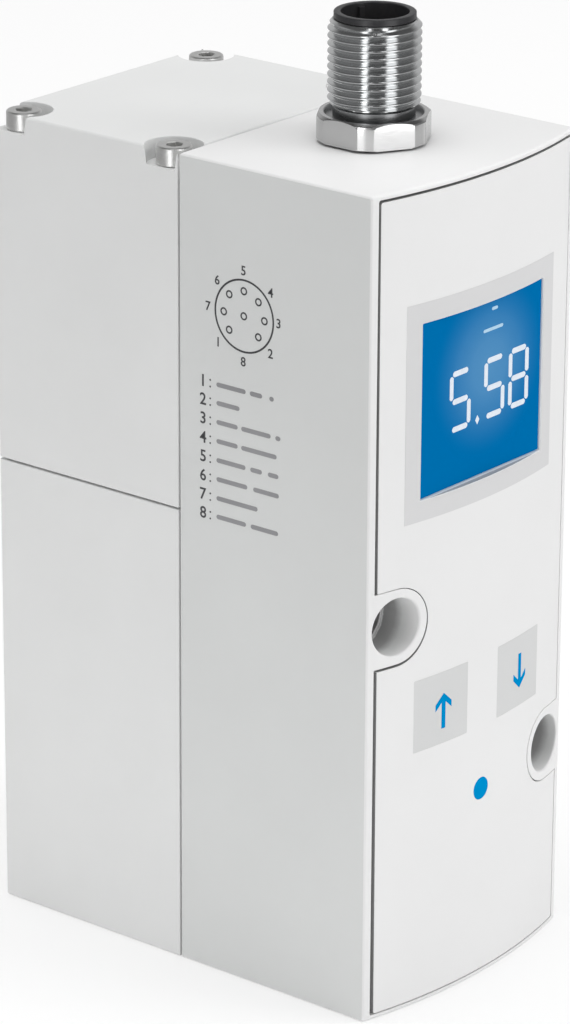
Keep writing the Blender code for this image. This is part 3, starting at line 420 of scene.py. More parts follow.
def new_material(name):
    mat = bpy.data.materials.new(name)
    mat.use_nodes = True
    tree = mat.node_tree
    place = add_node(tree, "TexCoord").outputs["Object"]
    return mat, tree, tree.nodes["Principled BSDF"], place


def noise(tree, vector, scale, detail=2.0, stretch=None):
    """Noise from 0 to 1, stretched along an axis where stretch says so."""
    if stretch:
        mapping = add_node(tree, "Mapping", {"Scale": stretch, "Vector": vector})
        vector = mapping.outputs["Vector"]
    inputs = {"Scale": scale, "Detail": detail, "Vector": vector}
    return add_node(tree, "TexNoise", inputs).outputs["Fac"]


def ramp(tree, factor, stops):
    """Colours along a factor. Each stop is a place from 0 to 1 and a colour or a grey."""
    node = add_node(tree, "ValToRGB", {"Fac": factor})
    elements = node.color_ramp.elements
    while len(elements) < len(stops):
        elements.new(0.5)
    for element, (place, color) in zip(elements, stops):
        element.position = place
        element.color = (*(color if isinstance(color, tuple) else (color,) * 3), 1.0)
    return node.outputs["Color"]


def rescale(tree, value, from_low, from_high, to_low=0.0, to_high=1.0):
    """Map a value from one range to another."""
    inputs = {"From Min": from_low, "From Max": from_high, "To Min": to_low, "To Max": to_high}
    inputs["Value"] = value
    return add_node(tree, "MapRange", inputs).outputs["Result"]


def spread(tree, noise_value, low, high):
    """Map the range that noise mostly has to the range from low to high."""
    return rescale(tree, noise_value, 0.3, 0.7, low, high)


def part_of(tree, vector, axis):
    """One component of a vector: X, Y or Z."""
    return add_node(tree, "SeparateXYZ", {"Vector": vector}).outputs[axis]


def bearing(tree, vector):
    """Direction of a vector round the vertical, from 0 to 1 for a full turn."""
    node = add_node(tree, "TexGradient", {"Vector": vector}, gradient_type="RADIAL")
    return node.outputs["Fac"]


def mix_colors(tree, factor, first, second, blend="MIX"):
    """Blend two colours. The numbers are those of the colour sockets."""
    inputs = {0: factor, 6: first, 7: second}
    return add_node(tree, "Mix", inputs, data_type="RGBA", blend_type=blend).outputs[2]


def mix_shaders(tree, factor, first, second):
    return add_node(tree, "MixShader", {0: factor, 1: first, 2: second}).outputs["Shader"]


def light_shader(tree, kind, color, strength=1.0):
    """Emission or background."""
    return add_node(tree, kind, {"Color": color, "Strength": strength}).outputs[0]


def bump(tree, height, strength, distance):
    """Fine relief. The distance is in millimetres."""
    inputs = {"Strength": strength, "Distance": distance * MM, "Height": height}
    return add_node(tree, "Bump", inputs).outputs["Normal"]


def plastic(name, color, roughness, grain, strength, variation, coat=0.0, gloss=0.5):
    """Moulded plastic: fine grain, slight clouding of colour and uneven gloss."""
    mat, tree, shader, place = new_material(name)
    cloud = noise(tree, place, 55.0, 3.0)
    dark = tuple(max(c * (1 - variation), 0.0) for c in color)
    light = tuple(min(c * (1 + variation), 1.0) for c in color)
    fine = noise(tree, place, grain, 2.0)
    inputs = {
        "Base Color": ramp(tree, cloud, [(0.35, dark), (0.65, light)]),
        "Roughness": spread(tree, fine, roughness - 0.05, roughness + 0.05),
        "Normal": bump(tree, fine, strength, 0.02),
        "Coat Weight": coat,
        "Specular IOR Level": gloss,
    }
    feed(tree, shader, inputs)
    return mat


def metal(name, color, roughness, stretch, scale, strength=0.15, variation=0.05, reflection_tones=None):
    """Turned or plated metal: stretched tool marks in gloss and relief.

    Where greys by the direction that a face has round the vertical are given, they are
    multiplied in as painted reflections.
    """
    mat, tree, shader, place = new_material(name)
    if not isinstance(stretch, tuple):
        stretch = (1.0, 1.0, stretch)
    marks = noise(tree, place, scale, 3.0, stretch)
    dark = tuple(c * (1 - variation) for c in color)
    light = tuple(min(c * (1 + variation), 1.0) for c in color)
    tone = ramp(tree, marks, [(0.3, dark), (0.7, light)])
    # painted reflections: the colour is darkened or lightened by the way a face turns round the
    # vertical
    if reflection_tones:
        facing = add_node(tree, "TexCoord").outputs["Normal"]
        tone = mix_colors(tree, 1.0, tone, ramp(tree, bearing(tree, facing), reflection_tones), "MULTIPLY")
    inputs = {
        "Base Color": tone,
        "Metallic": 1.0,
        "Roughness": spread(tree, marks, max(roughness - 0.05, 0.02), roughness + 0.06),
        "Normal": bump(tree, marks, strength, 0.01),
    }
    feed(tree, shader, inputs)
    return mat


# Painted reflections on the hexagon's flats: greys by the direction that they face, round a
# full turn
FACET_REFLECTION_STOPS = [
    (0.0, 0.62), (0.045, 0.62), (0.057, 1.1), (0.076, 1.1), (0.086, 0.78), (0.112, 0.78),
    (0.130, 1.0), (0.205, 1.0), (0.222, 0.66), (0.258, 0.66), (0.275, 0.95), (0.300, 0.66),
    (0.46, 0.66), (0.60, 0.9), (0.80, 0.9), (0.86, 0.62), (1.0, 0.62),
]

# Plastics: colour, roughness, scale and strength of the grain, variation, coat and gloss
casing = plastic("casing", (0.74, 0.745, 0.742), 0.50, 3200.0, 0.22, 0.012, 0.0, 0.2)
head_casing = plastic("head_casing", (0.775,) * 3, 0.48, 3000.0, 0.18, 0.010, 0.0, 0.3)
side_tone = plastic("side_tone", (0.655, 0.665, 0.66), 0.42, 3000.0, 0.18, 0.012, 0.0, 0.35)
cover_paint = plastic("cover", (0.775,) * 3, 0.40, 2600.0, 0.12, 0.008, 0.0, 0.35)
frame_ink = plastic("printed_frame", (0.64, 0.64, 0.645), 0.42, 2600.0, 0.10, 0.01, 0.0, 0.3)
key_face = plastic("key_face", (0.625, 0.63, 0.63), 0.42, 2600.0, 0.10, 0.01, 0.0, 0.3)
blue_ink = plastic("blue_ink", (0.0, 0.245, 0.55), 0.45, 2600.0, 0.08, 0.03, 0.0, 0.0)
side_ink = plastic("side_ink", (0.055, 0.055, 0.06), 0.45, 2600.0, 0.08, 0.10)
pale_ink = plastic("pale_ink", (0.27, 0.27, 0.28), 0.45, 2600.0, 0.08, 0.10)
black = plastic("black_insert", (0.022, 0.022, 0.024), 0.38, 2600.0, 0.20, 0.15)
# painted shade: dark grey for the cover's edge faces in its top and left gaps and round the
# left boss
gap_painted_shade = plastic("gap_painted_shade", (0.26,) * 3, 0.6, 2600.0, 0.10, 0.05, 0.0, 0.2)

# Metals: colour, roughness, stretch, scale and strength of the tool marks, variation
nickel = metal("nickel", (0.76, 0.76, 0.75), 0.20, 9.0, 700.0, 0.03, 0.02)
# painted reflections on the hexagon's flats, by the way each flat faces
facet_painted_reflection = metal("facet_painted_reflection", (0.8,) * 3, 0.20, 9.0, 700.0, 0.03, 0.02, FACET_REFLECTION_STOPS)
# painted shade for the plug's bore, undercut and recess
nickel_painted_shade = metal("nickel_painted_shade", (0.34, 0.345, 0.35), 0.30, 9.0, 500.0, 0.02, 0.02)
thread_nickel = metal("thread_nickel", (0.60, 0.61, 0.615), 0.14, 9.0, 500.0, 0.02, 0.02)
steel = metal("screw_metal", (0.84, 0.84, 0.83), 0.38, 6.0, 900.0, 0.04, 0.04)
gold = metal("gold_contact", (0.83, 0.62, 0.25), 0.22, 6.0, 900.0, 0.10, 0.05)

# Middle and reach of the display's glow, in millimetres
GLOW_X = 1.5
GLOW_Z = 84.5
GLOW_REACH = 12.0
GLOW_STOPS = [
    (0.0, (0.0, 0.074, 0.200)),
    (0.2, (0.020, 0.102, 0.226)),
    (0.5, (0.036, 0.124, 0.245)),
    (1.0, (0.043, 0.134, 0.253)),
]


def screen_material():
    """Lit display: blue with a soft lighter glow, under a smooth face."""
    mat, tree, shader, place = new_material("lit_screen")
    size = 1.0 / (GLOW_REACH * MM)
    shift = (-GLOW_X / GLOW_REACH, 0.0, -GLOW_Z / GLOW_REACH)
    inputs = {"Location": shift, "Scale": (size, 0.0, size), "Vector": place}
    moved = add_node(tree, "Mapping", inputs).outputs["Vector"]
    glow = add_node(tree, "TexGradient", {"Vector": moved}, gradient_type="QUADRATIC_SPHERE")
    lit = ramp(tree, glow.outputs["Fac"], GLOW_STOPS)
    inputs = {
        "Base Color": lit,
        "Emission Color": lit,
        "Emission Strength": 1.0,
        "Roughness": spread(tree, noise(tree, place, 5200.0, 1.0), 0.30, 0.36),
        "Specular IOR Level": 0.0,
    }
    feed(tree, shader, inputs)
    return mat


def glow_material(name, color, strength):
    """Lit marks of the display, a little uneven like the segments of a real one."""
    mat, tree, shader, place = new_material(name)
    dark = tuple(c * 0.94 for c in color)
    lit = ramp(tree, noise(tree, place, 900.0, 2.0), [(0.35, dark), (0.65, color)])
    inputs = {"Base Color": lit, "Emission Color": lit, "Emission Strength": strength}
    feed(tree, shader, {**inputs, "Roughness": 0.4})
    return mat


screen_glass = screen_material()
segment_white = glow_material("segment_white", (0.38, 0.41, 0.45), 1.0)
segment_pale = glow_material("segment_pale", (0.22, 0.33, 0.42), 1.0)

# Painted light on a passage's wall from the mouth inwards: lighter at the mouth, painted shade
# deeper in. The bright stop is a painted highlight at the ledge.
PASSAGE_LIGHT_STOPS = [
    (0.12, 0.82), (0.36, (0.75, 0.76, 0.755)), (0.52, 0.46), (0.74, 0.45),
    (0.755, 0.90), (0.770, 0.90), (0.785, 0.34),
]
# Painted light on the cut edge round the display, from the front inwards: painted shade at the
# front, a painted highlight next to the screen
WINDOW_LIGHT_STOPS = [
    (0.0, (0.40, 0.39, 0.37)),
    (0.50, (0.50, 0.48, 0.45)),
    (0.62, (0.90, 0.88, 0.84)),
    (1.0, (0.90, 0.88, 0.84)),
]


def painted_depth_light_material(name, start, end, stops, grain, blur, roughness):
    """Plastic with painted shade and highlights that follow the depth in the part between start
    and end.

    blur is the share of the grain that is added to the depth.
    """
    mat, tree, shader, place = new_material(name)
    depth = rescale(tree, part_of(tree, place, "Y"), start * MM, end * MM)
    fine = noise(tree, place, grain, 2.0)
    if blur:
        inputs = {0: fine, 1: blur, 2: depth}
        depth = add_node(tree, "Math", inputs, operation="MULTIPLY_ADD").outputs["Value"]
    inputs = {
        "Base Color": ramp(tree, depth, stops),
        "Roughness": spread(tree, fine, roughness - 0.05, roughness + 0.05),
        "Specular IOR Level": 0.3,
    }
    feed(tree, shader, inputs)
    return mat


# painted shade deeper in each passage, with a painted highlight at the ledge
passage_painted_light = painted_depth_light_material(
    "passage_painted_light", Y_FRONT + 1.0, Y_FRONT + 9.0, PASSAGE_LIGHT_STOPS, 1500.0, 0.04, 0.50
)
# painted shade on the window's cut edge, with a painted highlight next to the screen
window_painted_light = painted_depth_light_material(
    "window_painted_light", SCREEN_Y - 0.9, SCREEN_Y + 0.1, WINDOW_LIGHT_STOPS, 2600.0, 0.0, 0.45
)

# Lower and upper blocks


def casing_outline(inset, y0, y1):
    """Plan of a block: wide rounding at the rear, a crisp edge at the seam to the head."""
    points = []
    for corner, cx, cy, start in (
        (EDGE, 1.0, 1.0, 0.0),
        (EDGE, -1.0, 1.0, 90.0),
        (SEAM_EDGE, -1.0, -1.0, 180.0),
        (SEAM_EDGE, 1.0, -1.0, 270.0),
    ):
        radius = max(corner - inset, 0.02)
        mid_x = cx * (HALF - inset - radius)
        mid_y = (y1 - inset - radius) if cy > 0 else (y0 + inset + radius)
        for i in range(6):
            a = math.radians(start + 90.0 * i / 5)
            points.append((mid_x + radius * math.cos(a), mid_y + radius * math.sin(a)))
    return points


def soft_block(name, y0, y1, z0, z1, low_edge, high_edge):
    """A block whose twelve outer edges are rounded, each end by its own radius."""
    rings = []
    for inset, depth in fillet_steps(low_edge, 5):
        rings.append([(x, y, z0 + depth) for x, y in casing_outline(inset, y0, y1)])
    for inset, depth in reversed(fillet_steps(high_edge, 5)):
        rings.append([(x, y, z1 - depth) for x, y in casing_outline(inset, y0, y1)])
    return make_mesh(name, [loft(rings)], 0)


def rounded_hole(radius, x, z, y_face, y_end, rim, sides=48):
    """A hole in the rear face whose mouth is rounded."""
    profile = [(radius + rim, y_face + BEYOND)]
    for offset, depth in fillet_steps(rim, 3):
        profile.append((radius + offset, y_face - depth))
    profile.append((radius, y_end))
    return turned(profile, sides, (x, 0.0, z), "Y")


def screw_places():
    return [(x, y) for x in (-SCREW_X, SCREW_X) for y in SCREW_YS]


def make_lower_block():
    """Lower block with the stepped valve bore, the rear ports and both screw passages."""
    lower = soft_block("lower_block", Y_BLOCK, Y_REAR, 0.0, Z_LOWER, EDGE, SEAM_EDGE)
    bore = [(6.75, -BEYOND), (6.75, 0.0), (6.6, 0.15), (6.6, 6.5), (BORE_RADIUS, 6.5)]
    for z in PORT_Z:
        low = z - 2.5
        high = z + 2.5
        bore.extend([(BORE_RADIUS, low), (GROOVE_RADIUS, low)])
        bore.extend([(GROOVE_RADIUS, high), (BORE_RADIUS, high)])
    bore.extend([(BORE_RADIUS, PISTON_LOW), (PISTON_RADIUS, PISTON_LOW)])
    bore.append((PISTON_RADIUS, Z_LOWER + BEYOND))
    boolean(lower, [turned(bore, 48, (0.0, Y_BORE, 0.0))])
    cuts = []
    for z in PORT_Z:
        port_end = Y_BORE + BORE_RADIUS + 0.6
        cuts.append(rounded_hole(PORT_RADIUS, 0.0, z, Y_REAR, port_end, 0.12))
        groove = [(4.03, -BEYOND), (5.67, -BEYOND), (5.67, 1.49), (4.03, 1.49)]
        points, faces = turned_ring(groove)
        cuts.append(([(p[0], Y_REAR - p[2], z + p[1]) for p in points], faces))
    duct = [(1.0, Y_BLOCK - 5.0), (1.0, Y_BORE - BORE_RADIUS)]
    cuts.append(turned(duct, 24, (0.0, 0.0, PORT_Z[1]), "Y"))
    for x, z in PASSAGES:
        cuts.append(rounded_hole(SHANK_RADIUS, x, z, Y_REAR, Y_BLOCK - 5.0, 0.15))
    boolean(lower, cuts)
    floor = Z_LOWER - 1.45
    top = Z_LOWER + BEYOND
    groove = [(12.95, floor), (14.55, floor), (14.55, top), (12.95, top)]
    cuts = [turned_ring(groove, 64, (0.0, Y_BORE, 0.0))]
    for x, y in screw_places():
        cuts.append(turned([(1.3, Z_LOWER - 5.4), (1.3, top)], 24, (x, y, 0.0)))
    boolean(lower, cuts)
    tidy(lower)
    finish_piece(lower, casing, "housing", ["valve_body"])


def make_upper_block():
    """Upper block with the scooped corners, and hollows for the two pilot valves."""
    upper = soft_block("upper_block", Y_BLOCK, Y_REAR, Z_UPPER, HEIGHT, SEAM_EDGE, EDGE)
    floor = HEIGHT - SCREW_HEAD_HEIGHT
    profile = [(1.4, Z_UPPER - BEYOND), (1.4, floor), (SCOOP_RADIUS - 0.25, floor)]
    for offset, depth in reversed(fillet_steps(0.25, 3)):
        profile.append((SCOOP_RADIUS - offset, floor + depth))
    for offset, depth in reversed(fillet_steps(0.12, 3)):
        profile.append((SCOOP_RADIUS + offset, HEIGHT - depth))
    profile.append((SCOOP_RADIUS + 0.12, HEIGHT + BEYOND))
    boolean(upper, [turned(profile, 64, (x, y, 0.0)) for x, y in screw_places()])
    plate_y = (Y_BORE - 12.3, Y_BORE + 12.3)
    boolean(upper, [box(-15.3, 15.3, *plate_y, Z_UPPER - BEYOND, COIL_BASE)])
    coil = [(COIL_RADIUS, Z_UPPER), (COIL_RADIUS, COIL_TOP)]
    boolean(upper, [turned(coil, 32, (x, Y_BORE, 0.0)) for x in (-COIL_X, COIL_X)])
    boolean(upper, [cable_slot(Y_BLOCK - 5.0, Y_BORE)])
    tidy(upper)
    finish_piece(upper, casing, "housing", ["pilot_block"])


def cable_slot(y0, y1):
    """Slot for the coils' cables, from the upper block into the head."""
    low = CABLE_Z - CABLE_HALF_Z
    high = CABLE_Z + CABLE_HALF_Z
    return box(-CABLE_HALF_X, CABLE_HALF_X, y0, y1, low, high)


make_lower_block()
make_upper_block()

# Head housing


def head_plan(inset, steps=64):
    """Plan of the head with rounded corners, drawn in by an inset."""
    side = HALF - SIDE_STEP - inset
    corner = max(EDGE - inset, 0.02)
    back = Y_HEAD - inset
    points = []
    crisp = max(SEAM_EDGE - inset, 0.02)
    for cx, start in ((side - crisp, 0.0), (-side + crisp, 90.0)):
        for i in range(6):
            a = math.radians(start + 90.0 * i / 5)
            points.append((cx + crisp * math.cos(a), back - crisp + crisp * math.sin(a)))
    radius = FRONT_RADIUS - inset
    middle_y = Y_FRONT + FRONT_RADIUS
    cx = side - corner
    inner = radius - corner
    angle = math.asin(cx / inner)
    cy = middle_y - math.sqrt(inner ** 2 - cx ** 2)
    for i in range(6):
        a = math.pi + (math.pi / 2 - angle) * i / 5
        points.append((-cx + corner * math.cos(a), cy + corner * math.sin(a)))
    for i in range(1, steps):
        a = -angle + 2 * angle * i / steps
        points.append((radius * math.sin(a), middle_y - radius * math.cos(a)))
    for i in range(6):
        a = 3 * math.pi / 2 + angle + (math.pi / 2 - angle) * i / 5
        points.append((cx + corner * math.cos(a), cy + corner * math.sin(a)))
    return points


def make_head():
    """Head housing: a hollow shell with bosses and stepped holes for the two passages."""
    rings = []
    steps = fillet_steps(EDGE, 5)
    for inset, depth in steps:
        rings.append([(x, y, depth) for x, y in head_plan(inset)])
    for inset, depth in reversed(steps):
        rings.append([(x, y, HEIGHT - depth) for x, y in head_plan(inset)])
    head = make_mesh("head_casing", [loft(rings)], 0)

    opening = rect_shape(-OPENING_X, OPENING_X, OPENING_LOW, OPENING_HIGH, 0.3)
    ledge = front_y(OPENING_X) + COVER_THICKNESS + GAP
    tool = make_mesh("opening_tool", [curved_cutter(spaced(opening), RIM, ledge)], 0)
    inside_x = HALF - WALL
    inside_y = Y_HEAD - WALL
    hollow = box(-inside_x, inside_x, Y_FRONT - 5.0, inside_y, WALL, HEIGHT - WALL)
    boolean(tool, [hollow], "UNION")
    for x, z in PASSAGES:
        boss = boss_shape(x, z, BOSS_RADIUS)
        boolean(tool, [curved_cutter(boss, RIM, Y_HEAD + 5.0, -1.0)])
    combine(head, tool)
    mouths = [circle_shape(x, z, PASSAGE_RADIUS) for x, z in PASSAGES]
    boolean(head, [curved_cutter(mouth, 0.3, LEDGE_Y) for mouth in mouths])
    cuts = []
    for x, z in PASSAGES:
        profile = [
            (PASSAGE_RADIUS - LEDGE, LEDGE_Y - 2.0),
            (PASSAGE_RADIUS - LEDGE, SEAT_Y),
            (SHANK_RADIUS, SEAT_Y),
            (SHANK_RADIUS, Y_HEAD + 5.0),
        ]
        cuts.append(turned(profile, 64, (x, 0.0, z), "Y"))
    profile = [(6.2, HEIGHT - 6.0), (6.2, HEIGHT - 0.1), (6.3, HEIGHT), (6.3, HEIGHT + 5.0)]
    cuts.append(turned(profile, 64, (0.0, PLUG_Y, 0.0)))
    back = (Y_HEAD - 4.0, Y_HEAD + 5.0)
    cuts.append(turned([(SENSOR_HOLE, y) for y in back], 24, (0.0, 0.0, PORT_Z[1]), "Y"))
    cuts.append(cable_slot(*back))
    boolean(head, cuts)
    tidy(head)
    finish_piece(head, head_casing, "housing", ["head_housing"])
    paint(head, side_tone, lambda c, n: abs(n.x) > 0.985 and abs(c.x) > HALF - 0.1)

    def in_passage(centre, normal):
        near = [math.hypot(centre.x - x, centre.z - z) for x, z in PASSAGES]
        inside = min(near) < PASSAGE_RADIUS + 0.1
        return inside and abs(normal.y) < 0.5 and centre.y < Y_HEAD - 0.2

    # painted shade and highlight on the passages' walls
    paint(head, passage_painted_light, in_passage)


make_head()

# Front cover


def arc_slab(x_half, z0, z1, front_step, thickness, steps=96):
    """A plate that follows the bulged front."""
    front = []
    back = []
    for i in range(steps + 1):
        x = -x_half + 2 * x_half * i / steps
        front.append((x, front_y(x) + front_step))
        back.append((x, front_y(x) + thickness))
    plan = front + back[::-1]
    return loft([[(x, y, z0) for x, y in plan], [(x, y, z1) for x, y in plan]])


COVER_X = OPENING_X - COVER_GAP
COVER_LOW = OPENING_LOW + COVER_GAP
COVER_HIGH = OPENING_HIGH - COVER_GAP
COVER_CUT_BACK = Y_EDGE + 8.0
# The cover sits a little to the right and low in its opening, so its gaps differ.
# COVER_LEAN draws its left edge in at the base, and by nothing at the top.
COVER_LEFT = 0.02
COVER_LEAN = 0.22
COVER_RIGHT = 0.21
COVER_UNDER = 0.17
# Gap round the left boss and how far it hangs under it. Both are less at the right boss.
BOSS_GAP = 0.22
BOSS_DROP = 0.13
RIGHT_BOSS_LESS = 0.10


def cover_cutter(outline, rounding, sign=1.0):
    return curved_cutter(outline, rounding, COVER_CUT_BACK, sign, COVER_STEP)


def key_shape(x, slit=0.0):
    half_x = KEY_HALF_X + slit
    half_z = KEY_HALF_Z + slit
    corners = (x - half_x, x + half_x, KEY_Z - half_z, KEY_Z + half_z)
    return spaced(rect_shape(*corners, 0.12 + slit))


def make_cover():
    """Bulged front plate with openings for the display, the keys and both bosses."""
    reach = (COVER_X + 0.5, COVER_LOW - 1.0, COVER_HIGH + 1.0)
    cover = make_mesh("front_plate", [arc_slab(*reach, COVER_STEP, COVER_THICKNESS)], 0)

    left = -COVER_X + COVER_LEFT
    outline = rect_shape(left, COVER_X + COVER_RIGHT, COVER_LOW - COVER_UNDER, COVER_HIGH, 0.3)

    def outer(offset):
        leaned = []
        for x, z in outline(offset):
            lean = COVER_LEAN * (1.0 - z / HEIGHT) if x < 0 else 0.0
            leaned.append((x + lean, z))
        return leaned

    boolean(cover, [cover_cutter(spaced(outer), RIM, -1.0)], "INTERSECT")
    for x, z in PASSAGES:
        less = 0.0 if x < 0 else RIGHT_BOSS_LESS
        boss = boss_shape(x, z - BOSS_DROP + less, BOSS_RADIUS + BOSS_GAP - less)
        boolean(cover, [cover_cutter(boss, RIM)])
    window = rect_shape(-WINDOW_X, WINDOW_X, WINDOW_LOW, WINDOW_HIGH, 0.1)
    boolean(cover, [cover_cutter(spaced(window), 0.1)])
    for x in (-KEY_X, KEY_X):
        boolean(cover, [cover_cutter(key_shape(x, KEY_SLIT), 0.01)])
    dot = circle_shape(0.0, DOT_Z, DOT_RADIUS + KEY_SLIT, 48)
    boolean(cover, [cover_cutter(dot, 0.02)])
    tidy(cover)
    finish_piece(cover, cover_paint, "housing", ["front_cover"])

    def at_window(centre, normal):
        inside = abs(centre.x) < WINDOW_X + 0.2
        level = WINDOW_LOW - 0.2 < centre.z < WINDOW_HIGH + 0.2
        return inside and level and abs(normal.y) <= 0.3

    # Painted shade: the cover's edge faces in the top and left gaps and round the left boss are
    # made dark grey
    def gets_gap_painted_shade(centre, normal):
        if abs(normal.y) > 0.3 or at_window(centre, normal):
            return False
        if centre.z > COVER_HIGH - 0.6:
            return True
        if centre.x < -COVER_X + 1.0 and abs(normal.x) > 0.7:
            return True
        x, z = PASSAGES[0]
        near = math.hypot(centre.x - x, centre.z - z) < BOSS_RADIUS + 1.0
        return near and (centre.x > x or centre.z < z)

    paint(cover, gap_painted_shade, gets_gap_painted_shade)
    # painted shade and highlight on the window's cut edge
    paint(cover, window_painted_light, at_window)


make_cover()


def make_printed_frame():
    """Grey printed border round the display window."""
    slab = make_mesh("display_border", [arc_slab(*BORDER, 0.0, COVER_STEP, 72)], 0)
    x = WINDOW_X + 0.1
    through = (Y_FRONT - 5.0, COVER_CUT_BACK)
    boolean(slab, [box(-x, x, *through, WINDOW_LOW - 0.1, WINDOW_HIGH + 0.1)])
    tidy(slab)
    return finish_piece(slab, frame_ink, "housing")


make_printed_frame()

# Keys

KEY_BACK = front_y(KEY_X + KEY_HALF_X) + COVER_THICKNESS + GAP + KEY_FLANGE
KEY_FLANGE_FRONT = KEY_BACK - KEY_FLANGE


def key_slab(x, half, z0, z1, steps=24):
    """A block at one place of the bulged front, flat behind."""
    front = []
    for i in range(steps + 1):
        u = x - half + 2 * half * i / steps
        front.append((u, front_y(u) + COVER_STEP))
    plan = front + [(x + half, KEY_BACK), (x - half, KEY_BACK)]
    return loft([[(u, y, z0) for u, y in plan], [(u, y, z1) for u, y in plan]])


def make_square_key(name, x, node):
    key = make_mesh(name, [key_slab(x, KEY_HALF_X + 0.3, KEY_Z - 6.0, KEY_Z + 6.0)], 0)
    cap = curved_cutter(key_shape(x), 0.01, KEY_FLANGE_FRONT + 0.01, -1.0, COVER_STEP)
    boolean(key, [cap], "INTERSECT")
    half = KEY_HALF_X + KEY_FLANGE
    depths = (KEY_FLANGE_FRONT, KEY_BACK)
    flange = box(x - half, x + half, *depths, KEY_Z - KEY_HALF_Z, KEY_Z + KEY_HALF_Z)
    boolean(key, [flange], "UNION")
    tidy(key)
    return finish_piece(key, key_face, node, [node])


make_square_key("up_key_cap", -KEY_X, "up_key")
make_square_key("down_key_cap", KEY_X, "down_key")


def make_dot_key():
    face = front_y(0.0) + COVER_STEP
    profile = [
        (0.02, face),
        (DOT_RADIUS - 0.1, face + 0.005),
        (DOT_RADIUS - 0.03, face + 0.02),
        (DOT_RADIUS, face + 0.06),
        (DOT_RADIUS, KEY_FLANGE_FRONT),
        (DOT_RADIUS + KEY_FLANGE, KEY_FLANGE_FRONT),
        (DOT_RADIUS + KEY_FLANGE, KEY_BACK),
    ]
    dot = make_mesh("edit_key_cap", [turned(profile, 48, (0.0, 0.0, DOT_Z), "Y")], 30)
    return finish_piece(dot, blue_ink, "edit_key", ["edit_key"])


make_dot_key()


def stroke(x0, z0, x1, z1, width, ends=6):
    """Outline of a straight stroke with round ends, in X and Z."""
    a = math.atan2(z1 - z0, x1 - x0)
    points = []
    for cx, cz, start in ((x1, z1, a - math.pi / 2), (x0, z0, a + math.pi / 2)):
        for i in range(ends + 1):
            t = start + math.pi * i / ends
            points.append((cx + width / 2 * math.cos(t), cz + width / 2 * math.sin(t)))
    return points


def front_sheet(outline, lift, thickness):
    """A thin sheet on the bulged front: its outline follows the surface."""
    points = spaced(lambda offset: outline)(0.0)
    face = [(x, front_y(x) + lift, z) for x, z in points]
    back = [(x, front_y(x) + lift + thickness, z) for x, z in points]
    return loft([face, back])


def make_arrow(name, tip, tail, sense, body):
    """An arrow printed on a key: a shaft with flat ends and two wings cut off upright."""
    x, z = tip
    half_shaft = 0.36
    wing = 1.5
    under = z - sense * 1.25
    low = z - sense * 2.3
    high = z - sense * 1.38
    outline = [
        (x, z),
        (x + wing, high),
        (x + wing, low),
        (x + half_shaft, under),
        (x + half_shaft, tail),
        (x - half_shaft, tail),
        (x - half_shaft, under),
        (x - wing, low),
        (x - wing, high),
    ]
    if sense < 0:
        outline.reverse()
    arrow = make_mesh(name, [front_sheet(outline, COVER_STEP - INK, INK * 0.9)], 0)
    return finish_piece(arrow, blue_ink, body)


make_arrow("up_arrow", (-7.87, 42.8), 37.9, 1.0, "up_key")
make_arrow("down_arrow", (8.58, 38.35), 43.2, -1.0, "down_key")

# Display


def make_screen():
    """Display block: its lit face in the window, and a flange behind the cover."""
    half = WINDOW_X - 0.15
    low = WINDOW_LOW + 0.15
    high = WINDOW_HIGH - 0.15
    step = Y_FRONT + 3.2
    layers = [(inset, SCREEN_Y + depth) for inset, depth in fillet_steps(0.08, 3)]
    layers += [(0.0, step), (-1.6, step), (-1.6, step + 0.8)]
    rings = []
    for inset, y in layers:
        x = half - inset
        ring = rounded_rect(-x, x, low + inset, high - inset, 0.1)
        rings.append([(x, y, z) for x, z in ring])
    screen = make_mesh("lit_screen", [loft(rings)], 0)
    tidy(screen)
    return finish_piece(screen, screen_glass, "housing", ["display_panel"])


make_screen()


def screen_sheet(outline):
    """A thin lit mark on the display."""
    return loft([[(x, SCREEN_Y + depth, z) for x, z in outline] for depth in (-0.03, 0.01)])


def segment(x0, z0, x1, z1, width=0.74):
    """One bar of a digit with blunt pointed ends."""
    a = math.atan2(z1 - z0, x1 - x0)
    ca = math.cos(a)
    sa = math.sin(a)
    length = math.hypot(x1 - x0, z1 - z0)
    h = width / 2
    nose = h * 0.75
    end = ((nose * 0.25, -h * 0.55), (nose, -h))
    outline = [(0.0, 0.0), *end] + [(length - u, v) for u, v in reversed(end)]
    outline += [(length, 0.0)] + [(length - u, -v) for u, v in end]
    outline += [(u, -v) for u, v in reversed(end)]
    return screen_sheet([(x0 + u * ca - v * sa, z0 + u * sa + v * ca) for u, v in outline])


def digit(left, right, bars):
    top = 85.2
    middle = 81.5
    bottom = 77.8
    places = {
        "a": (left + 0.25, top, right - 0.25, top),
        "g": (left + 0.25, middle, right - 0.25, middle),
        "d": (left + 0.25, bottom, right - 0.25, bottom),
        "f": (left, top - 0.2, left, middle + 0.3),
        "b": (right, top - 0.2, right, middle + 0.3),
        "e": (left, middle - 0.3, left, bottom + 0.2),
        "c": (right, middle - 0.3, right, bottom + 0.2),
    }
    return [segment(*places[bar]) for bar in bars]


def make_reading():
    """Three digits with a point, and two plain bars over them."""
    shells = digit(-6.3, -2.64, "afgcd")
    shells += digit(0.9, 4.49, "afgcd")
    shells += digit(6.08, 9.59, "abcdefg")
    shells.append(screen_sheet([(-1.22, 77.88), (-0.8, 77.26), (-0.38, 77.88), (-0.8, 78.5)]))
    reading = make_mesh("screen_reading", shells, 0)
    finish_piece(reading, segment_white, "housing")
    bars = ((2.1, 2.9, 92.0), (0.4, 4.1, 89.35))
    shells = [screen_sheet(stroke(start, z, end, z, 0.42)) for start, end, z in bars]
    labels = make_mesh("screen_labels", shells, 0)
    finish_piece(labels, segment_pale, "housing")


make_reading()

# Marks printed on the left side


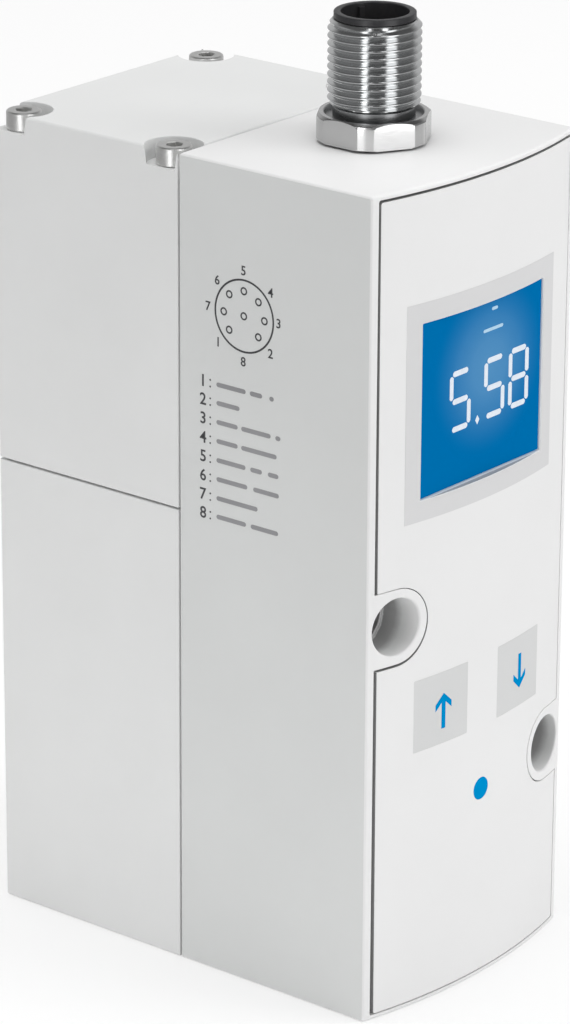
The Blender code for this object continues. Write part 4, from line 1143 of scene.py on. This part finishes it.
def side_sheet(outline):
    """A thin sheet on the left side wall. The outline is in Y and Z."""
    return loft([[(x, y, z) for y, z in outline] for x in (-HALF, -HALF + SIDE_STEP)])


def side_ring(y, z, radius, line, sides):
    """A thin ring on the left side wall."""
    edges = (circle(y, z, radius, sides), circle(y, z, radius - line, sides))
    points = [(x, *p) for x in (-HALF, -HALF + SIDE_STEP) for edge in edges for p in edge]
    faces = []
    for i in range(sides):
        j = (i + 1) % sides
        for a, b in ((0, 1), (3, 2), (2, 0), (1, 3)):
            a *= sides
            b *= sides
            faces.append((a + i, a + j, b + j, b + i))
    return points, faces


def numeral(text, y, z, height):
    """A printed numeral centred at a place on the left side wall."""
    curve = bpy.data.curves.new("numeral", "FONT")
    curve.body = text
    curve.size = 1.0
    curve.resolution_u = 4
    curve.extrude = 0.01
    curve.offset = 0.012
    holder = bpy.data.objects.new("numeral", curve)
    bpy.context.scene.collection.objects.link(holder)
    bpy.context.view_layer.update()
    graph = bpy.context.evaluated_depsgraph_get()
    mesh = bpy.data.meshes.new_from_object(holder.evaluated_get(graph))
    xs = [v.co.x for v in mesh.vertices]
    ys = [v.co.y for v in mesh.vertices]
    scale = height / (max(ys) - min(ys))
    mid_x = (max(xs) + min(xs)) / 2
    mid_y = (max(ys) + min(ys)) / 2
    points = []
    for v in mesh.vertices:
        depth = -HALF if v.co.z > 0 else -HALF + SIDE_STEP
        points.append((depth, y - (v.co.x - mid_x) * scale, z + (v.co.y - mid_y) * scale))
    faces = [tuple(p.vertices) for p in mesh.polygons]
    bpy.data.objects.remove(holder)
    bpy.data.meshes.remove(mesh)
    return points, faces


def make_side_print():
    shells = [side_ring(-9.645, 92.14, 4.74 + 0.12, 0.25, 96)]
    for y, z in (
        (-9.58, 95.43),
        (-7.2, 94.55),
        (-6.29, 92.11),
        (-9.58, 92.13),
        (-11.96, 94.47),
        (-12.94, 92.17),
        (-7.19, 89.85),
        (-11.96, 89.85),
    ):
        shells.append(side_ring(y, z, 0.54, 0.21, 28))
    numbers = (
        ("5", -9.5, 98.11),
        ("6", -5.22, 96.06),
        ("7", -3.72, 92.31),
        ("1", -5.37, 87.87),
        ("8", -9.5, 86.09),
        ("2", -13.93, 88.09),
        ("3", -15.22, 92.32),
        ("4", -13.91, 96.12),
    )
    for text, y, z in numbers:
        shells.append(numeral(text, y, z, 1.25))
    rows = (82.22, 79.74, 77.18, 74.61, 72.03, 69.45, 66.86, 64.34)
    for k, z in enumerate(rows):
        shells.append(numeral(str(k + 1), -2.85, z, 1.6))
        for height in (-0.62, 0.28):
            shells.append(side_sheet(circle(-4.05, z + height, 0.13, 12)))
    marks = make_mesh("side_numbers", shells, 0)
    finish_piece(marks, side_ink, "housing")
    words = (
        ((5.1, 9.9), (10.6, 12.6), (13.9, 14.4)),
        ((5.1, 8.9),),
        ((5.1, 8.6), (9.2, 14.0), (14.8, 15.6)),
        ((5.1, 8.6), (9.2, 15.0)),
        ((5.1, 9.9), (10.7, 12.6), (13.6, 15.3)),
        ((5.1, 10.2), (11.2, 15.4)),
        ((5.1, 11.9),),
        ((5.1, 10.0), (10.8, 15.3)),
    )
    shells = []
    for z, row in zip(rows, words):
        for start, end in row:
            shells.append(side_sheet(stroke(-start - 0.3, z - 0.1, -end + 0.3, z - 0.1, 0.62)))
    bars = make_mesh("side_bars", shells, 0)
    finish_piece(bars, pale_ink, "housing")


make_side_print()

# Cover screws


def make_screw(number, x, y):
    """Screw with a round head and a chamfered hexagon socket, turned differently each time."""
    low = Z_LOWER - 5.1
    seat = HEIGHT - SCREW_HEAD_HEIGHT + 0.05
    top = HEIGHT
    profile = [
        (0.8, low),
        (1.2, low + 0.4),
        (1.2, seat),
        (SCREW_HEAD - 0.12, seat),
        (SCREW_HEAD, seat + 0.12),
    ]
    for offset, depth in reversed(fillet_steps(0.28, 4)):
        profile.append((SCREW_HEAD - offset, top - depth))
    screw = make_mesh("socket_screw_%d" % number, [turned(profile, 64, (x, y, 0.0))], 0)
    turn = math.radians(12.0 + 17.0 * number)
    corners = [turn + k * math.pi / 3 for k in range(6)]
    socket = ((1.02, -1.5), (1.15, -1.3), (1.15, -0.1), (1.27, 0.02), (1.27, 3.0))
    rings = []
    for r, z in socket:
        rings.append([(x + r * math.cos(a), y + r * math.sin(a), top + z) for a in corners])
    boolean(screw, [loft(rings)])
    tidy(screw)
    finish_piece(screw, steel, "housing", ["cover_screw_%d" % number])


for screw_number, screw_place in enumerate(screw_places(), start=1):
    make_screw(screw_number, *screw_place)

# Round plug


def plug_point(radius, angle, z):
    """A point round the plug's axis, in metres."""
    x = radius * math.cos(angle)
    y = PLUG_Y + radius * math.sin(angle)
    return x * MM, y * MM, z * MM


def plug_turned(profile):
    return turned(profile, 96, (0.0, PLUG_Y, 0.0))


def make_thread(mat):
    """The threaded sleeve: an outside helix with trimmed ends over an undercut, and a bore."""
    sides = 96
    outer = THREAD_RADIUS
    under = UNDERCUT_RADIUS + 0.05
    chamfer = outer - 0.7
    # One turn of the thread: places along the pitch and shares of the depth
    shape = (
        (0.0, 1.0),
        (0.06, 1.0),
        (0.21, 0.68),
        (0.36, 0.34),
        (0.46, 0.05),
        (0.50, 0.0),
        (0.58, 0.0),
        (0.62, 0.05),
        (0.72, 0.34),
        (0.86, 0.68),
    )
    per_pitch = len(shape)
    turns = int(math.ceil((THREAD_HIGH - THREAD_LOW) / THREAD_PITCH)) + 3
    rows = turns * per_pitch
    angles = [2 * math.pi * i / sides for i in range(sides)]
    bm = bmesh.new()
    grid = []
    for i, a in enumerate(angles):
        column = []
        for k in range(rows):
            turn, step = divmod(k, per_pitch)
            place, depth = shape[step]
            radius = outer - THREAD_DEPTH * depth
            z = THREAD_LOW - THREAD_PITCH + (turn + place + i / sides) * THREAD_PITCH
            if z <= THREAD_LOW:
                z = THREAD_LOW
                radius = under
            z = min(z, THREAD_HIGH)
            radius = min(radius, under + (z - THREAD_LOW) * 1.2)
            radius = min(radius, chamfer + (THREAD_HIGH - z) * 0.9)
            column.append(bm.verts.new(plug_point(radius, a, z)))
        grid.append(column)
    for i in range(sides):
        j = (i + 1) % sides
        shift = 0 if j else per_pitch
        for k in range(rows - 1 - shift):
            low = (grid[i][k], grid[j][k + shift])
            bm.faces.new((*low, grid[j][k + 1 + shift], grid[i][k + 1]))
    inside = [
        (chamfer, THREAD_HIGH),
        (SHELL_BORE, THREAD_HIGH),
        (SHELL_BORE, HEX_HIGH - RECESS_DEPTH),
        (UNDERCUT_RADIUS, HEX_HIGH - RECESS_DEPTH),
        (UNDERCUT_RADIUS, THREAD_LOW - 0.06),
        (under, THREAD_LOW),
    ]
    rings = [[bm.verts.new(plug_point(radius, a, z)) for a in angles] for radius, z in inside]
    for low, high in zip(rings, rings[1:]):
        for i in range(sides):
            j = (i + 1) % sides
            bm.faces.new((low[i], low[j], high[j], high[i]))
    bmesh.ops.remove_doubles(bm, verts=bm.verts, dist=1e-7)
    bmesh.ops.dissolve_degenerate(bm, dist=1e-8, edges=bm.edges)
    bmesh.ops.recalc_face_normals(bm, faces=bm.faces)
    mesh = bpy.data.meshes.new("plug_thread")
    bm.to_mesh(mesh)
    bm.free()
    sleeve = bpy.data.objects.new("plug_thread", mesh)
    bpy.context.scene.collection.objects.link(sleeve)
    tidy(sleeve, 40.0)
    finish_piece(sleeve, mat, "housing", ["plug_shell"])
    paint_inner_shade(sleeve, UNDERCUT_RADIUS + 0.08, THREAD_HIGH)


def make_hexagon(mat):
    """Hexagon with turned corners, a ring recess round the thread and the stub below."""
    profile = [
        (7.36, HEX_LOW),
        (7.46, HEX_LOW + 0.08),
        (7.5, HEX_LOW + 0.2),
        (7.5, HEX_HIGH - 0.55),
        (7.42, HEX_HIGH - 0.3),
        (7.0, HEX_HIGH),
    ]
    body = make_mesh("plug_hexagon", [plug_turned(profile)], 0)
    corner = HEX_FLAT / math.cos(math.pi / 6)
    ring = []
    for k in range(6):
        a = math.radians(30 + 60 * k)
        ring.append((corner * math.cos(a), PLUG_Y + corner * math.sin(a)))
    ends = (HEX_LOW - 1.0, HEX_HIGH + 1.0)
    boolean(body, [loft([[(x, y, z) for x, y in ring] for z in ends])], "INTERSECT")
    stub = [(5.8, STUB_LOW), (5.9, STUB_LOW + 0.1), (5.9, HEX_LOW + 1.0)]
    boolean(body, [plug_turned(stub)], "UNION")
    bore = [(SHELL_BORE, STUB_LOW - 2.0), (SHELL_BORE, HEX_HIGH + 2.0)]
    boolean(body, [plug_turned(bore)])
    recess = [
        (4.0, HEX_HIGH - RECESS_DEPTH),
        (6.15, HEX_HIGH - RECESS_DEPTH),
        (6.35, HEX_HIGH - 0.1),
        (RECESS_RADIUS, HEX_HIGH),
        (RECESS_RADIUS, HEX_HIGH + 2.0),
        (4.0, HEX_HIGH + 2.0),
    ]
    boolean(body, [turned_ring(recess, 96, (0.0, PLUG_Y, 0.0))])
    low = HEX_LOW - 2.0
    high = HEX_LOW + 0.6
    seal = [(6.1, low), (6.8, low), (6.8, high), (6.1, high)]
    boolean(body, [turned_ring(seal, 96, (0.0, PLUG_Y, 0.0))])
    tidy(body, 25.0)
    finish_piece(body, mat, "housing", ["plug_shell"])
    paint_inner_shade(body, RECESS_RADIUS + 0.05, HEX_HIGH - 0.02)


def paint_inner_shade(obj, radius, top):
    """Painted shade: darker metal on the faces below a height and within a radius of the plug's
    axis.
    """
    paint(
        obj,
        nickel_painted_shade,
        lambda c, n: math.hypot(c.x, c.y - PLUG_Y) < radius and c.z < top,
    )


INSERT_HIGH = THREAD_HIGH + 0.9
INSERT_RADIUS = 5.25
POCKET_RADIUS = 4.35
POCKET_FLOOR = INSERT_HIGH - 8.4
PIN_CIRCLE = 2.75
PIN_RADIUS = 0.4


def pin_places():
    """Seven contacts in a circle and one in its middle."""
    places = []
    for k in range(7):
        a = math.pi / 2 + 2 * math.pi * (k + 0.5) / 7
        places.append((PIN_CIRCLE * math.cos(a), PLUG_Y + PIN_CIRCLE * math.sin(a)))
    return places + [(0.0, PLUG_Y)]


def make_insert(mat):
    """Contact carrier: a cup with a rounded rim, a coding rib and a hole for each contact."""
    rim = THREAD_HIGH + 0.05
    profile = [(4.7, STUB_LOW), (4.8, STUB_LOW + 0.1), (4.8, rim)]
    profile += [(INSERT_RADIUS - 0.07, rim), (INSERT_RADIUS, THREAD_HIGH + 0.12)]
    steps = fillet_steps(0.14, 3)
    profile += [(INSERT_RADIUS - offset, INSERT_HIGH - depth) for offset, depth in steps[::-1]]
    profile += [(POCKET_RADIUS + offset, INSERT_HIGH - depth) for offset, depth in steps]
    profile.append((POCKET_RADIUS, POCKET_FLOOR))
    insert = make_mesh("contact_carrier", [plug_turned(profile)], 0)
    turn = math.radians(62.0)
    ca = math.cos(turn)
    sa = math.sin(turn)
    plan = ((3.95, -0.35), (3.95, 0.35), (4.6, 0.5), (4.6, -0.5))
    rib = [(r * ca - w * sa, PLUG_Y + r * sa + w * ca) for r, w in plan]
    ends = (POCKET_FLOOR - 0.5, INSERT_HIGH - 0.5)
    boolean(insert, [loft([[(x, y, z) for x, y in rib] for z in ends])], "UNION")
    hole = [(0.45, STUB_LOW - 1.0), (0.45, POCKET_FLOOR + 1.0)]
    boolean(insert, [turned(hole, 24, (x, y, 0.0)) for x, y in pin_places()])
    tidy(insert)
    finish_piece(insert, mat, "housing", ["plug_insert"])


def make_pins(mat):
    """Contacts with round tips."""
    low = STUB_LOW - 2.0
    high = INSERT_HIGH - 2.4
    shoulder = high - PIN_RADIUS
    profile = [(0.3, low), (PIN_RADIUS, low + 0.1), (PIN_RADIUS, shoulder)]
    for step in range(1, 5):
        a = math.pi / 2 * step / 5
        profile.append((PIN_RADIUS * math.cos(a), shoulder + PIN_RADIUS * math.sin(a)))
    profile.append((0.08, high))
    for k, (x, y) in enumerate(pin_places(), start=1):
        pin = make_mesh("gold_pin_%d" % k, [turned(profile, 24, (x, y, 0.0))], 40)
        finish_piece(pin, mat, "housing", ["contact_pin_%d" % k])


make_thread(thread_nickel)
make_hexagon(facet_painted_reflection)
make_insert(black)
make_pins(gold)

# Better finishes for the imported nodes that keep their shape

rubber = plastic("rubber_seal", (0.03,) * 3, 0.75, 1800.0, 0.3, 0.15)
silicone = plastic("silicone_mat", (0.55, 0.56, 0.58), 0.65, 1600.0, 0.2, 0.03)
board_green = plastic("lacquered_board", (0.03, 0.22, 0.08), 0.40, 1200.0, 0.3, 0.12, 0.4)
milky = plastic("milky_guide", (0.80, 0.85, 0.88), 0.35, 1500.0, 0.05, 0.02)
alloy = metal("turned_alloy", (0.70, 0.71, 0.72), 0.28, 8.0, 800.0)
winding = plastic("winding_black", (0.05, 0.05, 0.06), 0.5, 1200.0, 0.4, 0.15)
iron = metal("magnet_steel", (0.45, 0.45, 0.46), 0.34, 8.0, 800.0)
resin = plastic("pilot_resin", (0.25, 0.26, 0.28), 0.5, 2200.0, 0.25, 0.05)
wire = metal("spring_wire", (0.50,) * 3, 0.28, (4.0, 4.0, 1.0), 900.0)
ceramic = plastic("sensor_ceramic", (0.75, 0.74, 0.70), 0.35, 1500.0, 0.1, 0.03)

FINISHES = {
    "seal_rubber": rubber,
    "mat_silicone": silicone,
    "board_green": board_green,
    "backlight_milky": milky,
    "spool_alloy": alloy,
    "coil_black": winding,
    "core_steel": iron,
    "pilot_resin": resin,
    "spring_steel": wire,
    "sensor_ceramic": ceramic,
    "casing_grey": casing,
    "cover_white": cover_paint,
    "key_grey": key_face,
    "key_blue": blue_ink,
    "screen_blue": screen_glass,
    "screw_steel": steel,
    "plug_chrome": nickel,
    "insert_black": black,
    "pin_gold": gold,
}
for entry in frame["record"]["subparts"]:
    node = frame["nodes"][entry["node"]]
    node.data.materials.clear()
    node.data.materials.append(FINISHES[entry["material_slot"]])


def make_spring(node):
    """Copy of a packed spring that stands in for the imported node."""
    spring = bpy.data.objects.new(node + "_coil", frame["nodes"][node].data.copy())
    bpy.context.scene.collection.objects.link(spring)
    finish_piece(spring, wire, "housing", [node])
    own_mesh(spring)


make_spring("spool_spring")
make_spring("pilot_spring_1")
make_spring("pilot_spring_2")

# Surroundings as glossy surfaces see them: bright panels and darker gaps between them.
# WORLD_STOPS go round the horizon, OVERHEAD_STOPS round the part of the sky above it,
# and RING_STOPS run from the horizon upwards.
WORLD_STOPS = [
    (0.0, 0.32), (0.010, 0.32), (0.022, 3.2), (0.048, 3.2), (0.060, 0.18), (0.185, 0.14),
    (0.200, 2.2), (0.262, 2.2), (0.276, 0.22), (0.435, 0.26), (0.470, 0.6), (0.560, 0.6),
    (0.700, 0.6), (0.750, 0.32), (1.0, 0.32),
]
OVERHEAD_STOPS = [
    (0.0, 0.12), (0.018, 0.12), (0.028, 2.4), (0.045, 2.4), (0.055, 0.10), (0.205, 0.10),
    (0.215, 2.4), (0.255, 2.4), (0.268, 0.10), (1.0, 0.12),
]
RING_STOPS = [(0.14, 0.0), (0.26, 0.40), (0.45, 0.40), (0.60, 0.0)]

# Floor and backdrop

FLOOR_HALF = 1500.0
FLOOR_DROP = 0.02
# Share of plain white that the camera sees, which leaves the rest to the shadow
FLOOR_WHITE = 0.55
# Between these distances in metres, glossy rays go from the near tone to the panels
NEAR_REACH = (0.10, 0.25)
NEAR_TONE = (0.7, 0.7, 0.7, 1.0)
WHITE = (1.0, 1.0, 1.0, 1.0)


def make_floor():
    corners = ((-1, -1), (1, -1), (1, 1), (-1, 1))
    points = [(x * FLOOR_HALF, y * FLOOR_HALF, -FLOOR_DROP) for x, y in corners]
    floor = make_mesh("floor", [(points, [(0, 1, 2, 3)])], 0)
    mat, tree, shader, place = new_material("floor_white")
    cloud = ramp(tree, noise(tree, place, 3.0, 2.0), [(0.3, 0.93), (0.7, 0.95)])
    feed(tree, shader, {"Base Color": cloud, "Roughness": 0.9, "Specular IOR Level": 0.0})
    path = add_node(tree, "LightPath")
    inputs = {0: path.outputs["Is Camera Ray"], 1: FLOOR_WHITE}
    share = add_node(tree, "Math", inputs, operation="MULTIPLY").outputs["Value"]
    white = light_shader(tree, "Emission", WHITE)
    seen = mix_shaders(tree, share, shader.outputs["BSDF"], white)
    reach = add_node(tree, "VectorMath", {0: place}, operation="LENGTH").outputs["Value"]
    away = rescale(tree, reach, *NEAR_REACH)
    bands = ramp(tree, bearing(tree, place), WORLD_STOPS)
    mirror = light_shader(tree, "Emission", mix_colors(tree, away, NEAR_TONE, bands))
    last = mix_shaders(tree, path.outputs["Is Glossy Ray"], seen, mirror)
    feed(tree, tree.nodes["Material Output"], {"Surface": last})
    floor.data.materials.append(mat)


make_floor()

# Light


AMBIENT = 0.67


def make_world():
    """White for the camera, plain soft light for the object, and panels in what it mirrors."""
    world = bpy.data.worlds.new("studio")
    bpy.context.scene.world = world
    world.use_nodes = True
    tree = world.node_tree
    tree.nodes.clear()
    path = add_node(tree, "LightPath")
    direction = add_node(tree, "TexCoord").outputs["Generated"]
    turn = bearing(tree, direction)
    rise = part_of(tree, direction, "Z")
    level = rescale(tree, rise, 0.40, 0.65, 1.0, 0.0)
    overhead = ramp(tree, turn, OVERHEAD_STOPS)
    around = mix_colors(tree, level, overhead, ramp(tree, turn, WORLD_STOPS))
    panels = mix_colors(tree, 1.0, around, ramp(tree, rise, RING_STOPS), "LIGHTEN")
    soft = light_shader(tree, "Background", WHITE, AMBIENT)
    shine = light_shader(tree, "Background", panels)
    white = light_shader(tree, "Background", WHITE)
    first = mix_shaders(tree, path.outputs["Is Glossy Ray"], soft, shine)
    second = mix_shaders(tree, path.outputs["Is Camera Ray"], first, white)
    add_node(tree, "OutputWorld", {"Surface": second})


make_world()


def make_light(name, place, target, size, power, height=None):
    """A soft rectangular lamp. Places and sizes are in metres."""
    data = bpy.data.lights.new(name, "AREA")
    data.shape = "RECTANGLE"
    data.size = size
    data.size_y = height or size
    data.energy = power
    lamp = bpy.data.objects.new(name, data)
    bpy.context.scene.collection.objects.link(lamp)
    lamp.location = place
    lamp.rotation_euler = (Vector(target) - Vector(place)).to_track_quat("-Z", "Y").to_euler()
    lamp.visible_glossy = False
    lamp.visible_camera = False
    return lamp


CENTRE = (0.0, 0.0, 0.06)
make_light("key_light", (0.55, -1.0, 0.72), CENTRE, 0.7, 5.5)
make_light("top_light", (-0.1, 0.1, 1.3), CENTRE, 0.8, 5.2)
# Small lamps: a bright patch on the head before the plug, and more light low on the left side
CROWN = (-0.0106, -0.0254)
make_light("crown_light", (*CROWN, 0.133), (*CROWN, 0.111), 0.012, 0.0007)
make_light("low_light", (-0.10, 0.0, 0.014), (-0.021, 0.0, 0.008), 0.16, 0.010, 0.016)

# Camera, at the viewing angle of the photograph

CAMERA_PLACE = (-0.464777, -0.377444, 0.277686)
CAMERA_TURN = math.radians(50.8716)
CAMERA_RISE = math.radians(20.1714)
CAMERA_ROLL = math.radians(0.2792)
CAMERA_LENS = 169.1357

flat = math.cos(CAMERA_RISE)
sideways = -math.sin(CAMERA_TURN) * flat
forwards = -math.cos(CAMERA_TURN) * flat
back = Vector((sideways, forwards, math.sin(CAMERA_RISE)))
level = Vector((math.cos(CAMERA_TURN), -math.sin(CAMERA_TURN), 0.0))
upright = back.cross(level)
right = math.cos(CAMERA_ROLL) * level + math.sin(CAMERA_ROLL) * upright
up = math.cos(CAMERA_ROLL) * upright - math.sin(CAMERA_ROLL) * level
camera_data = bpy.data.cameras.new("camera")
camera_data.lens = CAMERA_LENS
camera_data.sensor_width = 36.0
camera_data.clip_start = 0.05
camera_data.clip_end = 20.0
camera = bpy.data.objects.new("camera", camera_data)
bpy.context.scene.collection.objects.link(camera)
camera.matrix_world = Matrix(
    (
        (right.x, up.x, back.x, CAMERA_PLACE[0]),
        (right.y, up.y, back.y, CAMERA_PLACE[1]),
        (right.z, up.z, back.z, CAMERA_PLACE[2]),
        (0.0, 0.0, 0.0, 1.0),
    )
)
bpy.context.scene.camera = camera
bpy.context.scene.view_settings.view_transform = "Standard"
